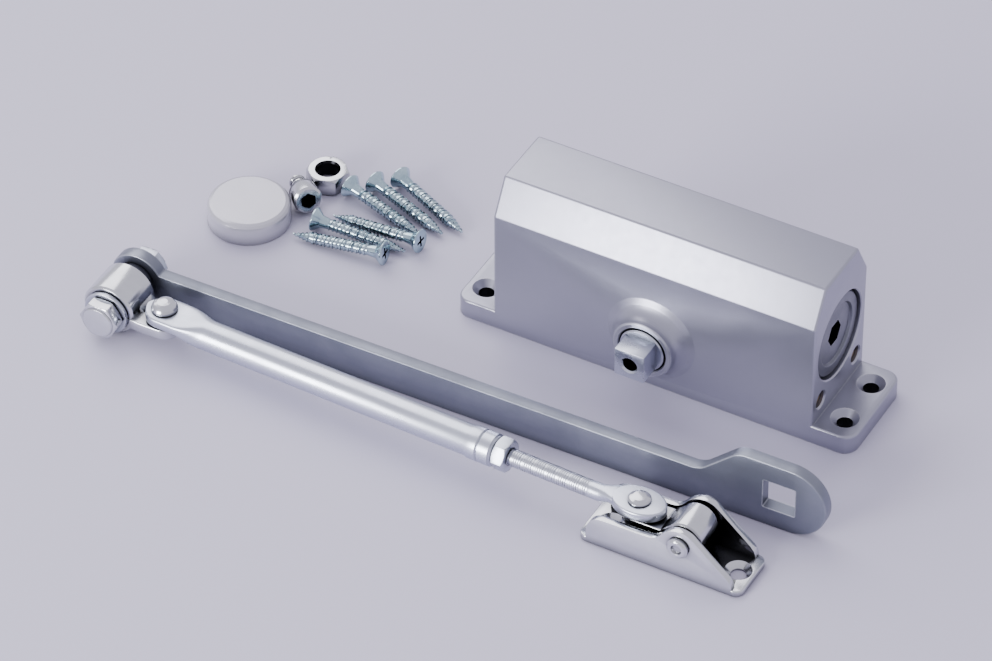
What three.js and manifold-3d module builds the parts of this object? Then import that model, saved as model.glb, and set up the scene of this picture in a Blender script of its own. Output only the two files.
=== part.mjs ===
// Overhead door closer, laid out as a kit: closer body with rack-and-pinion works,
// folded two-piece arm with its foot bracket, spindle cap, spindle screw set and fixing screws.
// Millimetres, +Z up. The origin is the centre of the body's mounting face, which rests on Z = 0.
// +X runs along the body. The spindle is parallel to Y, and its arm end points to -Y.

import * as THREE from 'three';
import { mergeVertices } from 'three/addons/utils/BufferGeometryUtils.js';
import Module from 'manifold-3d';

const wasm = await Module();
wasm.setup();

// ---------- driving dimensions ----------

const GAP = 0.3; // clearance between pieces that touch on the real object
const RUNNING_GAP = 0.15; // radial clearance of a turning or sliding piece

// closer body
const BODY_LENGTH = 117;
const BODY_DEPTH = 37;
const BODY_HEIGHT = 60;
const CHAMFER_Y = 7;
const CHAMFER_Z = 12.5;
const FLANGE_LENGTH = 146;
const FLANGE_THICKNESS = 7;
const FLANGE_CORNER = 5;
const HOLE_SPACING_X = 132;
const HOLE_SPACING_Y = 19;
const HOLE_RADIUS = 2.7;
const HOLE_SINK_RADIUS = 4.8;

// cylinder and end plugs
const BORE_Z = 32;
const BORE_RADIUS = 14;
const PLUG_SEAT_RADIUS = 15.5;
const PLUG_SEAT_DEPTH = 7;
const PLUG_THICKNESS = 5.5;
const PLUG_RADIUS = 15.2;
const PLUG_SOCKET = 8;

// spindle
const SPINDLE_Z = 20;
const SQUARE = 10.8;
const JOURNAL_RADIUS = 8;
const FRONT_TIP_Y = -34;
const REAR_TIP_Y = 24.6;
const BOSS_BASE_RADIUS = 15.5;
const BOSS_FRONT_RADIUS = 12.5;
const BOSS_HEIGHT = 7;
const BEARING_RADIUS = 10;
const BEARING_INNER_Y = 14.3;
const GLAND_THREAD_RADIUS = 11.8;
const GLAND_RADIUS = 12.4;

// gear: teeth are cut with a 25 degree rack
const MODULE = 1.3;
const TEETH = 10;
const PRESSURE_ANGLE = THREE.MathUtils.degToRad(25);
const ADDENDUM = 0.8 * MODULE;
const DEDENDUM = 1.1 * MODULE;
const BACKLASH = 0.24;
const GEAR_HALF_WIDTH = 9.5;
const RACK_HALF_WIDTH = 8;

// piston
const PISTON_RADIUS = BORE_RADIUS - RUNNING_GAP;
const PISTON_START = -17.5;
const PISTON_END = 43;
const NOTCH_START = -9.8;
const NOTCH_END = 30.6;
const NOTCH_Z = 28.7;
const SPRING_POCKET_DEPTH = 4;
const SPRING_POCKET_RADIUS = 11.6;

// closing spring
const SPRING_RADIUS = 9.6;
const SPRING_WIRE = 3.2;
const SPRING_TURNS = 5;
const SPRING_SEAT_THICKNESS = 1.4;

// speed valves
const VALVE_Y = 12.5;
const VALVE_Z = 14;
const VALVE_BORE_RADIUS = 3;
const VALVE_DEPTH = 12;

// arms
const ELBOW = new THREE.Vector3(-168, -63.5, 9.4);
const MAIN_ARM_YAW = THREE.MathUtils.degToRad(0.9);
const ARM_THICKNESS = 4.5;
const ARM_LENGTH = 235.5;
const ARM_EYE_RADIUS = 9.4;
const ARM_WIDTH = 13;
const PADDLE_HALF_WIDTH = 13;
const PADDLE_END = 16.5;
const ELBOW_BOLT_RADIUS = 4;
const KNUCKLE_LENGTH = 14.5;
const KNUCKLE_STANDOFF = 4;
const ELBOW_RIVET_X = 18.5;
const ELBOW_RIVET_Y = -13;
const TUBE_RADIUS = 5.2;
const TUBE_END = 128;
const TUBE_BORE = 3.25;
const ROD_RADIUS = 3;
const ROD_START = 64;
const LOCK_NUT_RADIUS = 5.8;
const LOCK_NUT_THICKNESS = 4.6;
const FOOT_PIN = new THREE.Vector3(50, -85, 13);
const FOOT_RIVET_REACH = 19;

// foot bracket
const FOOT_WIDTH = 19.4;
const FOOT_LEFT = -36;
const FOOT_RIGHT = 22;
const FOOT_SHEET = 2.4;
const FOOT_EAR_SHEET = 2.4;
const FOOT_CORNER = 3;
const FOOT_HOLE_LEFT = -29;
const FOOT_HOLE_RIGHT = 16.5;
const PIN_RADIUS = 2.5;

// loose pieces
const CAP_CENTRE = [-156.9, -9.9];
const CAP_RADIUS = 14.2;
const CAP_HEIGHT = 8;
const SCREW_LENGTH = 34;
const SCREW_RADIUS = 2.2;
const SCREW_HEAD_RADIUS = 4.2;

// ---------- geometry helpers ----------

// Weld a geometry to plain positions, drop collapsed triangles and turn its faces outwards.
// The result of a boolean is already closed and is left as it is.
function clean(geometry) {
  if (geometry.userData.closed) return geometry;
  const bare = geometry.clone();
  bare.deleteAttribute('normal');
  bare.deleteAttribute('uv');
  const welded = mergeVertices(bare, 1e-4);
  const source = welded.index.array;
  const position = welded.attributes.position;
  const kept = [];
  const a = new THREE.Vector3();
  const b = new THREE.Vector3();
  const c = new THREE.Vector3();
  let volume = 0;
  for (let i = 0; i < source.length; i += 3) {
    const [p, q, r] = [source[i], source[i + 1], source[i + 2]];
    if (p === q || q === r || r === p) continue;
    kept.push(p, q, r);
    a.fromBufferAttribute(position, p);
    b.fromBufferAttribute(position, q);
    c.fromBufferAttribute(position, r);
    volume += a.dot(b.cross(c));
  }
  if (volume < 0) kept.reverse();
  welded.setIndex(kept);
  return welded;
}

function toSolid(geometry) {
  const welded = clean(geometry);
  return new wasm.Manifold(new wasm.Mesh({
    numProp: 3,
    vertProperties: new Float32Array(welded.attributes.position.array),
    triVerts: new Uint32Array(welded.index.array),
  }));
}

function toGeometry(solid) {
  const mesh = solid.getMesh();
  const geometry = new THREE.BufferGeometry();
  geometry.setAttribute('position', new THREE.BufferAttribute(mesh.vertProperties, 3));
  geometry.setIndex(new THREE.BufferAttribute(mesh.triVerts, 1));
  geometry.userData.closed = true;
  return geometry;
}

function join(base, ...others) {
  return toGeometry(others.reduce((solid, other) => solid.add(toSolid(other)), toSolid(base)));
}

function cut(base, ...tools) {
  return toGeometry(tools.reduce((solid, tool) => solid.subtract(toSolid(tool)), toSolid(base)));
}

function common(base, other) {
  return toGeometry(toSolid(base).intersect(toSolid(other)));
}

function box(x0, x1, y0, y1, z0, z1) {
  const geometry = new THREE.BoxGeometry(x1 - x0, y1 - y0, z1 - z0);
  return geometry.translate((x0 + x1) / 2, (y0 + y1) / 2, (z0 + z1) / 2);
}

// Round bar or hex bar between two heights on one axis: 'x', 'y' or 'z'.
// `centre` is the place of its axis on the other two axes, in X, Y, Z order.
function bar(axis, radius, from, to, centre = [0, 0], sides = 32, endRadius = radius) {
  const geometry = new THREE.CylinderGeometry(endRadius, radius, to - from, sides);
  geometry.translate(0, (from + to) / 2, 0);
  if (axis === 'x') geometry.rotateZ(-Math.PI / 2).translate(0, centre[0], centre[1]);
  if (axis === 'y') geometry.translate(centre[0], 0, centre[1]);
  if (axis === 'z') geometry.rotateX(Math.PI / 2).translate(centre[0], centre[1], 0);
  return geometry;
}

function shapeOf(points) {
  return new THREE.Shape(points.map(([x, y]) => new THREE.Vector2(x, y)));
}

function extrude(shape, depth, curveSegments = 12) {
  return new THREE.ExtrudeGeometry(shape, { depth, bevelEnabled: false, curveSegments });
}

// Outline in X and Z, thickness along Y.
function uprightPlate(shape, y0, y1, curveSegments = 12) {
  return extrude(shape, y1 - y0, curveSegments).rotateX(Math.PI / 2).translate(0, y1, 0);
}

// Outline in X and Y, thickness along Z.
function flatPlate(shape, z0, z1, curveSegments = 12) {
  return extrude(shape, z1 - z0, curveSegments).translate(0, 0, z0);
}

// Outline in Y and Z, length along X.
function lengthPrism(shape, x0, x1) {
  const geometry = extrude(shape, x1 - x0);
  geometry.applyMatrix4(new THREE.Matrix4().set(0, 0, 1, x0, 1, 0, 0, 0, 0, 1, 0, 0, 0, 0, 0, 1));
  return geometry;
}

// Closed profile of [radius, height] points turned about one axis.
function turned(axis, profile, centre = [0, 0], sides = 32) {
  const points = profile.map(([r, h]) => new THREE.Vector2(r, h));
  if (profile[0][0] > 0) points.push(points[0].clone());
  const geometry = new THREE.LatheGeometry(points, sides);
  if (axis === 'x') geometry.rotateZ(-Math.PI / 2).translate(0, centre[0], centre[1]);
  if (axis === 'y') geometry.translate(centre[0], 0, centre[1]);
  if (axis === 'z') geometry.rotateX(Math.PI / 2).translate(centre[0], centre[1], 0);
  return geometry;
}

function ring(axis, inner, outer, from, to, centre = [0, 0], sides = 32) {
  return turned(axis, [[inner, from], [outer, from], [outer, to], [inner, to]], centre, sides);
}

// Round-section sealing ring.
function sealRing(axis, radius, wire, at, centre = [0, 0], sides = 28) {
  const profile = [];
  for (let i = 0; i < 8; i++) {
    const angle = (i / 8) * 2 * Math.PI;
    profile.push([radius + wire * Math.cos(angle), at + wire * Math.sin(angle)]);
  }
  return turned(axis, profile, centre, sides);
}

function roundedRectangle(x0, x1, y0, y1, radius) {
  const shape = new THREE.Shape();
  shape.moveTo(x0 + radius, y0);
  shape.lineTo(x1 - radius, y0);
  shape.absarc(x1 - radius, y0 + radius, radius, -Math.PI / 2, 0);
  shape.lineTo(x1, y1 - radius);
  shape.absarc(x1 - radius, y1 - radius, radius, 0, Math.PI / 2);
  shape.lineTo(x0 + radius, y1);
  shape.absarc(x0 + radius, y1 - radius, radius, Math.PI / 2, Math.PI);
  shape.lineTo(x0, y0 + radius);
  shape.absarc(x0 + radius, y0 + radius, radius, Math.PI, 1.5 * Math.PI);
  return shape;
}

// ---------- finishes ----------

function finish(color, roughness, metalness) {
  return new THREE.MeshStandardMaterial({ color, roughness, metalness });
}

const silverPaint = finish(0xb4b6c0, 0.45, 0.3);
const armZinc = finish(0x7f8794, 0.35, 0.8);
const chrome = finish(0xdfe2e6, 0.12, 1);
const brightSteel = finish(0xcfd3d8, 0.25, 1);
const blueZinc = finish(0xa9c4c9, 0.3, 0.9);
const satinPlastic = finish(0xd9d5d2, 0.4, 0.1);
const toolSteel = finish(0x8d9096, 0.4, 0.9);
const bronze = finish(0xa98455, 0.4, 0.9);
const rubber = finish(0x1d1d20, 0.8, 0);
const springSteel = finish(0x5c626b, 0.4, 0.9);

function piece(name, geometry, material) {
  const mesh = new THREE.Mesh(clean(geometry), material);
  mesh.name = name;
  return mesh;
}

// ---------- closer body ----------

function makeHousing() {
  const halfDepth = BODY_DEPTH / 2;
  const halfLength = BODY_LENGTH / 2;
  const section = shapeOf([
    [-halfDepth, 0],
    [halfDepth, 0],
    [halfDepth, BODY_HEIGHT - CHAMFER_Z],
    [halfDepth - CHAMFER_Y, BODY_HEIGHT],
    [-halfDepth + CHAMFER_Y, BODY_HEIGHT],
    [-halfDepth, BODY_HEIGHT - CHAMFER_Z],
  ]);
  const block = lengthPrism(section, -halfLength, halfLength);
  const halfFlange = FLANGE_LENGTH / 2;
  const flangeOutline = roundedRectangle(-halfFlange, halfFlange, -halfDepth, halfDepth, FLANGE_CORNER);
  const flange = flatPlate(flangeOutline, 0, FLANGE_THICKNESS, 6);
  const spindleAxis = [0, SPINDLE_Z];
  const bossFace = -halfDepth - BOSS_HEIGHT;
  const boss = bar('y', BOSS_FRONT_RADIUS, bossFace, -halfDepth + 1, spindleAxis, 40, BOSS_BASE_RADIUS);
  const bore = [0, BORE_Z];
  const seatStart = halfLength - PLUG_SEAT_DEPTH;
  const tools = [
    bar('x', BORE_RADIUS, -halfLength - 1, halfLength + 1, bore, 48),
    bar('x', PLUG_SEAT_RADIUS, seatStart, halfLength + 1, bore, 48),
    bar('x', PLUG_SEAT_RADIUS, -halfLength - 1, -seatStart, bore, 48),
    bar('y', BEARING_RADIUS + GAP, -halfDepth - BOSS_HEIGHT + 1, BEARING_INNER_Y, spindleAxis),
    bar('y', JOURNAL_RADIUS + 0.6, -halfDepth - BOSS_HEIGHT - 1, 0, spindleAxis),
    bar('y', GLAND_THREAD_RADIUS + GAP, BEARING_INNER_Y - GAP, halfDepth + 1, spindleAxis),
  ];
  for (const side of [-1, 1]) {
    const at = [side * VALVE_Y, VALVE_Z];
    tools.push(bar('x', VALVE_BORE_RADIUS, halfLength - VALVE_DEPTH, halfLength + 1, at, 20));
  }
  for (const sideX of [-1, 1]) {
    for (const sideY of [-1, 1]) {
      const at = [(sideX * HOLE_SPACING_X) / 2, (sideY * HOLE_SPACING_Y) / 2];
      tools.push(bar('z', HOLE_RADIUS, -1, FLANGE_THICKNESS + 1, at, 20));
      const sinkFrom = FLANGE_THICKNESS - (HOLE_SINK_RADIUS - HOLE_RADIUS);
      tools.push(bar('z', HOLE_RADIUS, sinkFrom, FLANGE_THICKNESS + 0.01, at, 20, HOLE_SINK_RADIUS));
    }
  }
  return cut(join(block, flange, boss), ...tools);
}

function makeEndPlug(side) {
  const outer = BODY_LENGTH / 2 - 1.2;
  const inner = outer - PLUG_THICKNESS;
  const groove = inner + 1.9;
  const profile = [
    [0, inner],
    [PLUG_RADIUS - 0.5, inner],
    [PLUG_RADIUS, inner + 0.5],
    [PLUG_RADIUS, groove - 1.1],
    [13.4, groove - 1.1],
    [13.4, groove + 1.1],
    [PLUG_RADIUS, groove + 1.1],
    [PLUG_RADIUS, outer - 0.8],
    [PLUG_RADIUS - 0.8, outer],
    [11.2, outer],
    [10.6, outer - 0.9],
    [0, outer - 0.9],
  ];
  const socketRadius = PLUG_SOCKET / Math.sqrt(3);
  const socket = bar('x', socketRadius, outer - 4, outer + 1, [0, 0], 6);
  const plug = cut(turned('x', profile, [0, 0], 40), socket);
  if (side < 0) plug.rotateZ(Math.PI);
  return plug.translate(0, 0, BORE_Z);
}

function makePlugSeal(side) {
  const at = side * (BODY_LENGTH / 2 - 1.2 - PLUG_THICKNESS + 1.9);
  return sealRing('x', 14.4, 0.8, at, [0, BORE_Z], 36);
}

function makeValveScrew(side) {
  const outer = BODY_LENGTH / 2 - 1.5;
  const inner = BODY_LENGTH / 2 - VALVE_DEPTH + 0.8;
  const profile = [
    [0, inner],
    [1, inner + 3.2],
    [1, inner + 3.6],
    [2.7, inner + 3.9],
    [2.7, inner + 4.8],
    [1.6, inner + 4.8],
    [1.6, inner + 6.2],
    [2.7, inner + 6.2],
    [2.7, outer - 0.3],
    [2.4, outer],
    [0, outer],
  ];
  const screw = turned('x', profile, [0, 0], 20);
  const slot = box(outer - 1.1, outer + 1, -4, 4, -0.45, 0.45);
  return cut(screw, slot).translate(0, side * VALVE_Y, VALVE_Z);
}

function makeValveSeal(side) {
  const at = BODY_LENGTH / 2 - VALVE_DEPTH + 0.8 + 5.5;
  return sealRing('x', 2.25, 0.42, at, [side * VALVE_Y, VALVE_Z], 16);
}

// ---------- spindle and its bearings ----------

// Angle from a tooth's centre line to its flank at one radius.
function flankAngle(radius) {
  const pitchRadius = (MODULE * TEETH) / 2;
  const baseRadius = pitchRadius * Math.cos(PRESSURE_ANGLE);
  const involute = (r) => {
    const angle = Math.acos(Math.min(1, baseRadius / r));
    return Math.tan(angle) - angle;
  };
  const halfTooth = Math.PI / (2 * TEETH) - BACKLASH / (2 * pitchRadius);
  return halfTooth + involute(pitchRadius) - involute(Math.max(radius, baseRadius));
}

function gearOutline() {
  const pitchRadius = (MODULE * TEETH) / 2;
  const tip = pitchRadius + ADDENDUM;
  const root = pitchRadius - DEDENDUM;
  const radii = [root, pitchRadius - 0.5 * ADDENDUM, pitchRadius, pitchRadius + 0.5 * ADDENDUM, tip];
  const points = [];
  for (let tooth = 0; tooth < TEETH; tooth++) {
    const centre = Math.PI / 2 + (tooth / TEETH) * 2 * Math.PI;
    for (const r of radii) points.push(polar(r, centre - flankAngle(r)));
    for (const r of [...radii].reverse()) points.push(polar(r, centre + flankAngle(r)));
  }
  return shapeOf(points);
}

function polar(radius, angle) {
  return [radius * Math.cos(angle), radius * Math.sin(angle)];
}

function makePinionShaft() {
  const centre = [0, SPINDLE_Z];
  const gear = uprightPlate(gearOutline(), -GEAR_HALF_WIDTH, GEAR_HALF_WIDTH).translate(0, 0, SPINDLE_Z);
  const frontShoulder = -BODY_DEPTH / 2 - BOSS_HEIGHT - 0.3;
  const rearShoulder = 21.2;
  const frontJournal = bar('y', JOURNAL_RADIUS, frontShoulder, -GEAR_HALF_WIDTH + 0.3, centre);
  const rearJournal = bar('y', JOURNAL_RADIUS, GEAR_HALF_WIDTH - 0.3, rearShoulder, centre);
  const half = SQUARE / 2;
  const zLow = SPINDLE_Z - half;
  const zHigh = SPINDLE_Z + half;
  const frontSquare = box(-half, half, FRONT_TIP_Y, frontShoulder + 1, zLow, zHigh);
  const rearSquare = box(-half, half, rearShoulder - 1, REAR_TIP_Y, zLow, zHigh);
  const tappedHole = bar('y', 2.6, FRONT_TIP_Y - 1, FRONT_TIP_Y + 13, centre, 20);
  return cut(join(gear, frontJournal, rearJournal, frontSquare, rearSquare), tappedHole);
}

function makeBush(side) {
  const near = BEARING_INNER_Y;
  const far = side < 0 ? 21.2 : 17.4;
  const inner = JOURNAL_RADIUS + RUNNING_GAP;
  const [from, to] = side < 0 ? [-far, -near] : [near, far];
  return ring('y', inner, BEARING_RADIUS, from, to, [0, SPINDLE_Z]);
}

function makeSpindleSeal(side) {
  const near = side < 0 ? 21.5 : 17.7;
  const far = side < 0 ? 24.2 : 19.4;
  const inner = JOURNAL_RADIUS + RUNNING_GAP;
  const lip = 0.8;
  const profile = [
    [inner, near],
    [BEARING_RADIUS, near],
    [BEARING_RADIUS, far],
    [inner + lip, far],
    [inner, far - lip],
  ];
  const seal = profile.map(([r, h]) => [r, side * h]);
  return turned('y', seal, [0, SPINDLE_Z]);
}

function makeGlandNut() {
  const face = BODY_DEPTH / 2;
  const profile = [
    [BEARING_RADIUS + GAP, BEARING_INNER_Y],
    [GLAND_THREAD_RADIUS, BEARING_INNER_Y],
    [GLAND_THREAD_RADIUS, face + GAP],
    [GLAND_RADIUS, face + GAP],
    [GLAND_RADIUS, face + 2],
    [GLAND_RADIUS - 0.5, face + 2.4],
    [JOURNAL_RADIUS + 0.6, face + 2.4],
    [JOURNAL_RADIUS + 0.6, face + 1.2],
    [BEARING_RADIUS + GAP, face + 1.2],
  ];
  const nut = turned('y', profile, [0, SPINDLE_Z], 36);
  const spannerHoles = [-10.4, 10.4].map((x) => (
    bar('y', 1.1, face + 1, face + 4, [x, SPINDLE_Z], 12)
  ));
  return cut(nut, ...spannerHoles);
}

// ---------- piston and spring ----------

function rackOutline() {
  const pitch = Math.PI * MODULE;
  const pitchZ = SPINDLE_Z + (MODULE * TEETH) / 2;
  const tipZ = pitchZ - ADDENDUM;
  const rootZ = pitchZ + DEDENDUM;
  const lean = Math.tan(PRESSURE_ANGLE);
  const halfTooth = pitch / 4 - BACKLASH / 2;
  const points = [[NOTCH_START - 1, NOTCH_Z + 1.5], [NOTCH_START - 1, rootZ]];
  // A gap between two rack teeth is centred over the gear tooth that points straight up.
  for (let gapIndex = -2; gapIndex < 7; gapIndex++) {
    const centre = (gapIndex + 0.5) * pitch;
    const tipHalf = halfTooth - ADDENDUM * lean;
    const rootHalf = halfTooth + DEDENDUM * lean;
    points.push([centre - rootHalf, rootZ], [centre - tipHalf, tipZ]);
    points.push([centre + tipHalf, tipZ], [centre + rootHalf, rootZ]);
  }
  points.push([NOTCH_END + 1, rootZ], [NOTCH_END + 1, NOTCH_Z + 1.5]);
  return shapeOf(points);
}

const CHECK_VALVE_Z = BORE_Z + 4;

function makePiston() {
  const centre = [0, BORE_Z];
  const ringAt = 37.5;
  const profile = [
    [0, PISTON_START + SPRING_POCKET_DEPTH],
    [SPRING_POCKET_RADIUS, PISTON_START + SPRING_POCKET_DEPTH],
    [SPRING_POCKET_RADIUS, PISTON_START],
    [PISTON_RADIUS - 0.4, PISTON_START],
    [PISTON_RADIUS, PISTON_START + 0.4],
    [PISTON_RADIUS, ringAt - 1.3],
    [12, ringAt - 1.3],
    [12, ringAt + 1.3],
    [PISTON_RADIUS, ringAt + 1.3],
    [PISTON_RADIUS, PISTON_END - 0.6],
    [PISTON_RADIUS - 0.6, PISTON_END],
    [0, PISTON_END],
  ];
  const body = turned('x', profile, centre, 48);
  const notch = box(NOTCH_START, NOTCH_END, -20, 20, 0, NOTCH_Z);
  const rack = uprightPlate(rackOutline(), -RACK_HALF_WIDTH, RACK_HALF_WIDTH);
  const insideBore = bar('x', PISTON_RADIUS, NOTCH_START, NOTCH_END, centre, 48);
  const valve = [0, CHECK_VALVE_Z];
  const notched = join(cut(body, notch), common(rack, insideBore));
  const valveBore = bar('x', 3, PISTON_END - 9, PISTON_END + 1, valve, 20);
  const valvePassage = bar('x', 1.4, NOTCH_END - 14, PISTON_END, valve, 12);
  const oilWay = bar('z', 1.4, NOTCH_Z - 2, CHECK_VALVE_Z, [NOTCH_END - 12, 0], 12);
  return cut(notched, valveBore, valvePassage, oilWay);
}

function makePistonRing() {
  return ring('x', 12.2, BORE_RADIUS - 0.06, 37.5 - 1.1, 37.5 + 1.1, [0, BORE_Z], 48);
}

function makeCheckBall() {
  return new THREE.SphereGeometry(2.4, 16, 10).translate(PISTON_END - 6.3, 0, CHECK_VALVE_Z);
}

function makeCheckRetainer() {
  return ring('x', 1.2, 2.75, PISTON_END - 1.8, PISTON_END - 0.4, [0, CHECK_VALVE_Z], 20);
}

function makeSpring() {
  const seatFace = -BODY_LENGTH / 2 + 1.2 + PLUG_THICKNESS + GAP + SPRING_SEAT_THICKNESS;
  const from = seatFace + GAP + SPRING_WIRE / 2;
  const to = PISTON_START + SPRING_POCKET_DEPTH - GAP - SPRING_WIRE / 2;
  class Helix extends THREE.Curve {
    getPoint(t, target = new THREE.Vector3()) {
      const angle = t * SPRING_TURNS * 2 * Math.PI;
      const x = from + (to - from) * t;
      return target.set(x, SPRING_RADIUS * Math.cos(angle), BORE_Z + SPRING_RADIUS * Math.sin(angle));
    }
  }
  const wire = new THREE.Shape();
  wire.absarc(0, 0, SPRING_WIRE / 2, 0, 2 * Math.PI);
  return new THREE.ExtrudeGeometry(wire, {
    steps: SPRING_TURNS * 14,
    curveSegments: 4,
    extrudePath: new Helix(),
    bevelEnabled: false,
  });
}

function makeSpringSeat() {
  const from = -BODY_LENGTH / 2 + 1.2 + PLUG_THICKNESS + GAP;
  return ring('x', 5, 12.6, from, from + SPRING_SEAT_THICKNESS, [0, BORE_Z], 32);
}

// ---------- main arm ----------

// The arm's own frame: the elbow axis is at its origin, X runs along the arm,
// and the arm's front face is the plane Y = 0.
function makeMainArm() {
  const base = -ARM_EYE_RADIUS;
  const top = base + ARM_WIDTH + 0.5;
  const eyeTop = Math.asin(top / ARM_EYE_RADIUS);
  const paddleCentre = base + PADDLE_HALF_WIDTH;
  const endCentre = ARM_LENGTH + PADDLE_END - PADDLE_HALF_WIDTH;
  const outline = new THREE.Shape();
  outline.absarc(0, 0, ARM_EYE_RADIUS, eyeTop, 1.5 * Math.PI);
  outline.lineTo(endCentre, base);
  outline.absarc(endCentre, paddleCentre, PADDLE_HALF_WIDTH, -Math.PI / 2, Math.PI / 2);
  const shoulder = ARM_LENGTH - 14;
  const flare = 12.5;
  const paddleTop = paddleCentre + PADDLE_HALF_WIDTH;
  outline.lineTo(shoulder + 3, paddleTop);
  outline.quadraticCurveTo(shoulder - 1, paddleTop, shoulder - 3.5, paddleCentre + 10.5);
  outline.lineTo(shoulder - flare, top + 1.6);
  outline.quadraticCurveTo(shoulder - flare - 2.2, top, shoulder - flare - 5, top);
  const plate = uprightPlate(outline, 0, ARM_THICKNESS, 14);
  const half = SQUARE / 2 + GAP;
  const squareHole = box(
    ARM_LENGTH - half, ARM_LENGTH + half, -1, ARM_THICKNESS + 1,
    paddleCentre - half, paddleCentre + half,
  );
  const eyeHole = bar('y', ELBOW_BOLT_RADIUS + GAP, -1, ARM_THICKNESS + 1, [0, 0], 28);
  return cut(plate, squareHole, eyeHole);
}

function makeElbowSpacer() {
  return ring('y', ELBOW_BOLT_RADIUS + GAP, 6.4, -KNUCKLE_STANDOFF + GAP, -GAP, [0, 0], 28);
}

function makeElbowBolt() {
  const headStart = -KNUCKLE_STANDOFF - KNUCKLE_LENGTH - 2.1;
  const shank = bar('y', ELBOW_BOLT_RADIUS, headStart - 0.5, ARM_THICKNESS + 6.2, [0, 0], 28);
  const head = bar('y', 7.2, headStart - 4.4, headStart, [0, 0], 6);
  const crown = bar('y', 5.6, headStart - 5, headStart - 4, [0, 0], 24);
  return join(shank, head, crown);
}

function makeElbowWasher() {
  const from = -KNUCKLE_STANDOFF - KNUCKLE_LENGTH - 1.8;
  return ring('y', ELBOW_BOLT_RADIUS + GAP, 7.8, from, from + 1.5, [0, 0], 28);
}

function makeElbowNut() {
  const nut = bar('y', 6.6, ARM_THICKNESS + GAP, ARM_THICKNESS + 5, [0, 0], 6);
  return cut(nut, bar('y', ELBOW_BOLT_RADIUS + RUNNING_GAP, 0, 20, [0, 0], 28));
}

// ---------- forearm ----------

function makeKnuckle() {
  const rear = -KNUCKLE_STANDOFF;
  const front = rear - KNUCKLE_LENGTH;
  const barrel = bar('y', ARM_EYE_RADIUS, front, rear, [0, 0], 36);
  const tongue = new THREE.Shape();
  const halfWidth = 6.2;
  tongue.moveTo(3, ELBOW_RIVET_Y - halfWidth + 0.7);
  tongue.lineTo(ELBOW_RIVET_X, ELBOW_RIVET_Y - halfWidth);
  tongue.absarc(ELBOW_RIVET_X, ELBOW_RIVET_Y, halfWidth, -Math.PI / 2, Math.PI / 2);
  tongue.lineTo(3, ELBOW_RIVET_Y + halfWidth + 1.5);
  const tonguePlate = flatPlate(tongue, -4.2, -0.2, 8);
  const webOutline = shapeOf([[4, -7], [11.2, -4.2], [11.2, -0.2], [4, 6.5]]);
  const web = uprightPlate(webOutline, front + 1.5, rear - 1.5);
  const bore = bar('y', 5.9, front - 1, rear + 1, [0, 0], 32);
  const rivetHole = bar('z', 3.1, -6, 1, [ELBOW_RIVET_X, ELBOW_RIVET_Y], 20);
  return cut(join(barrel, tonguePlate, web), bore, rivetHole);
}

function makeElbowBush() {
  const rear = -KNUCKLE_STANDOFF - GAP;
  const front = -KNUCKLE_STANDOFF - KNUCKLE_LENGTH + GAP;
  return ring('y', ELBOW_BOLT_RADIUS + RUNNING_GAP, 5.6, front, rear, [0, 0], 28);
}

// The forearm's own frame: the elbow rivet is at its origin, and X runs along the tube.
function makeForearmTube() {
  const flat = new THREE.Shape();
  flat.absarc(0, 0, 6.4, Math.PI / 2, 1.5 * Math.PI);
  flat.lineTo(9, -6.4);
  flat.lineTo(17, -4.6);
  flat.lineTo(17, 4.6);
  flat.lineTo(9, 6.4);
  const spoon = flatPlate(flat, 0.1, 4.1, 8);
  const shoulder = bar('x', 2.6, 9.5, 16, [0, 0], 32, TUBE_RADIUS);
  const upperHalf = box(8, 17, -8, 8, 0.1, 8);
  const tube = bar('x', TUBE_RADIUS, 15.5, TUBE_END, [0, 0], 32);
  const collar = bar('x', 6, TUBE_END - 9, TUBE_END - 1, [0, 0], 32);
  const solid = join(spoon, common(shoulder, upperHalf), tube, collar);
  const bore = bar('x', TUBE_BORE, 44, TUBE_END + 1, [0, 0], 28);
  const rivetHole = bar('z', 3.1, -1, 6, [0, 0], 20);
  return cut(solid, bore, rivetHole);
}

function makeElbowRivet() {
  const profile = [
    [0, -5.9],
    [3.6, -5.9],
    [4.1, -5.4],
    [4.1, -4.5],
    [2.8, -4.5],
    [2.8, 4.4],
    [4.5, 4.4],
    [4.3, 5.5],
    [3.5, 6.6],
    [2, 7.3],
    [0, 7.5],
  ];
  return turned('z', profile, [0, 0], 24);
}

function forearmReach() {
  return elbowRivetPoint().distanceTo(footRivetPoint());
}

function makeThreadedRod() {
  const reach = forearmReach();
  const rod = bar('x', ROD_RADIUS, ROD_START, reach - 8, [0, 0], 24);
  const eye = new THREE.Shape();
  eye.absellipse(reach, 0, 9.5, 6.6, 0, 2 * Math.PI);
  const eyePlate = flatPlate(eye, 0.2, 3.6, 10);
  const neck = flatPlate(shapeOf([
    [reach - 15, -2.7], [reach - 5, -4.2], [reach - 5, 4.2], [reach - 15, 2.7],
  ]), 0.2, 3);
  const rivetHole = bar('z', 2.8, -4, 6, [reach, 0], 20);
  const underEye = box(reach - 10, reach + 12, -8, 8, -4, 0.2);
  return cut(join(rod, neck, eyePlate), underEye, rivetHole);
}

function makeLockNut() {
  const near = TUBE_END + GAP;
  const far = near + LOCK_NUT_THICKNESS;
  const nut = bar('x', LOCK_NUT_RADIUS, near, far, [0, 0], 6);
  const flat = LOCK_NUT_RADIUS - 0.7;
  const profile = [
    [0, near],
    [flat, near],
    [LOCK_NUT_RADIUS, near + 0.6],
    [LOCK_NUT_RADIUS, far - 0.6],
    [flat, far],
    [0, far],
  ];
  const chamfered = common(nut, turned('x', profile, [0, 0], 32));
  return cut(chamfered, bar('x', ROD_RADIUS + RUNNING_GAP, near - 1, far + 1, [0, 0], 24));
}

// ---------- foot bracket ----------

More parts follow.
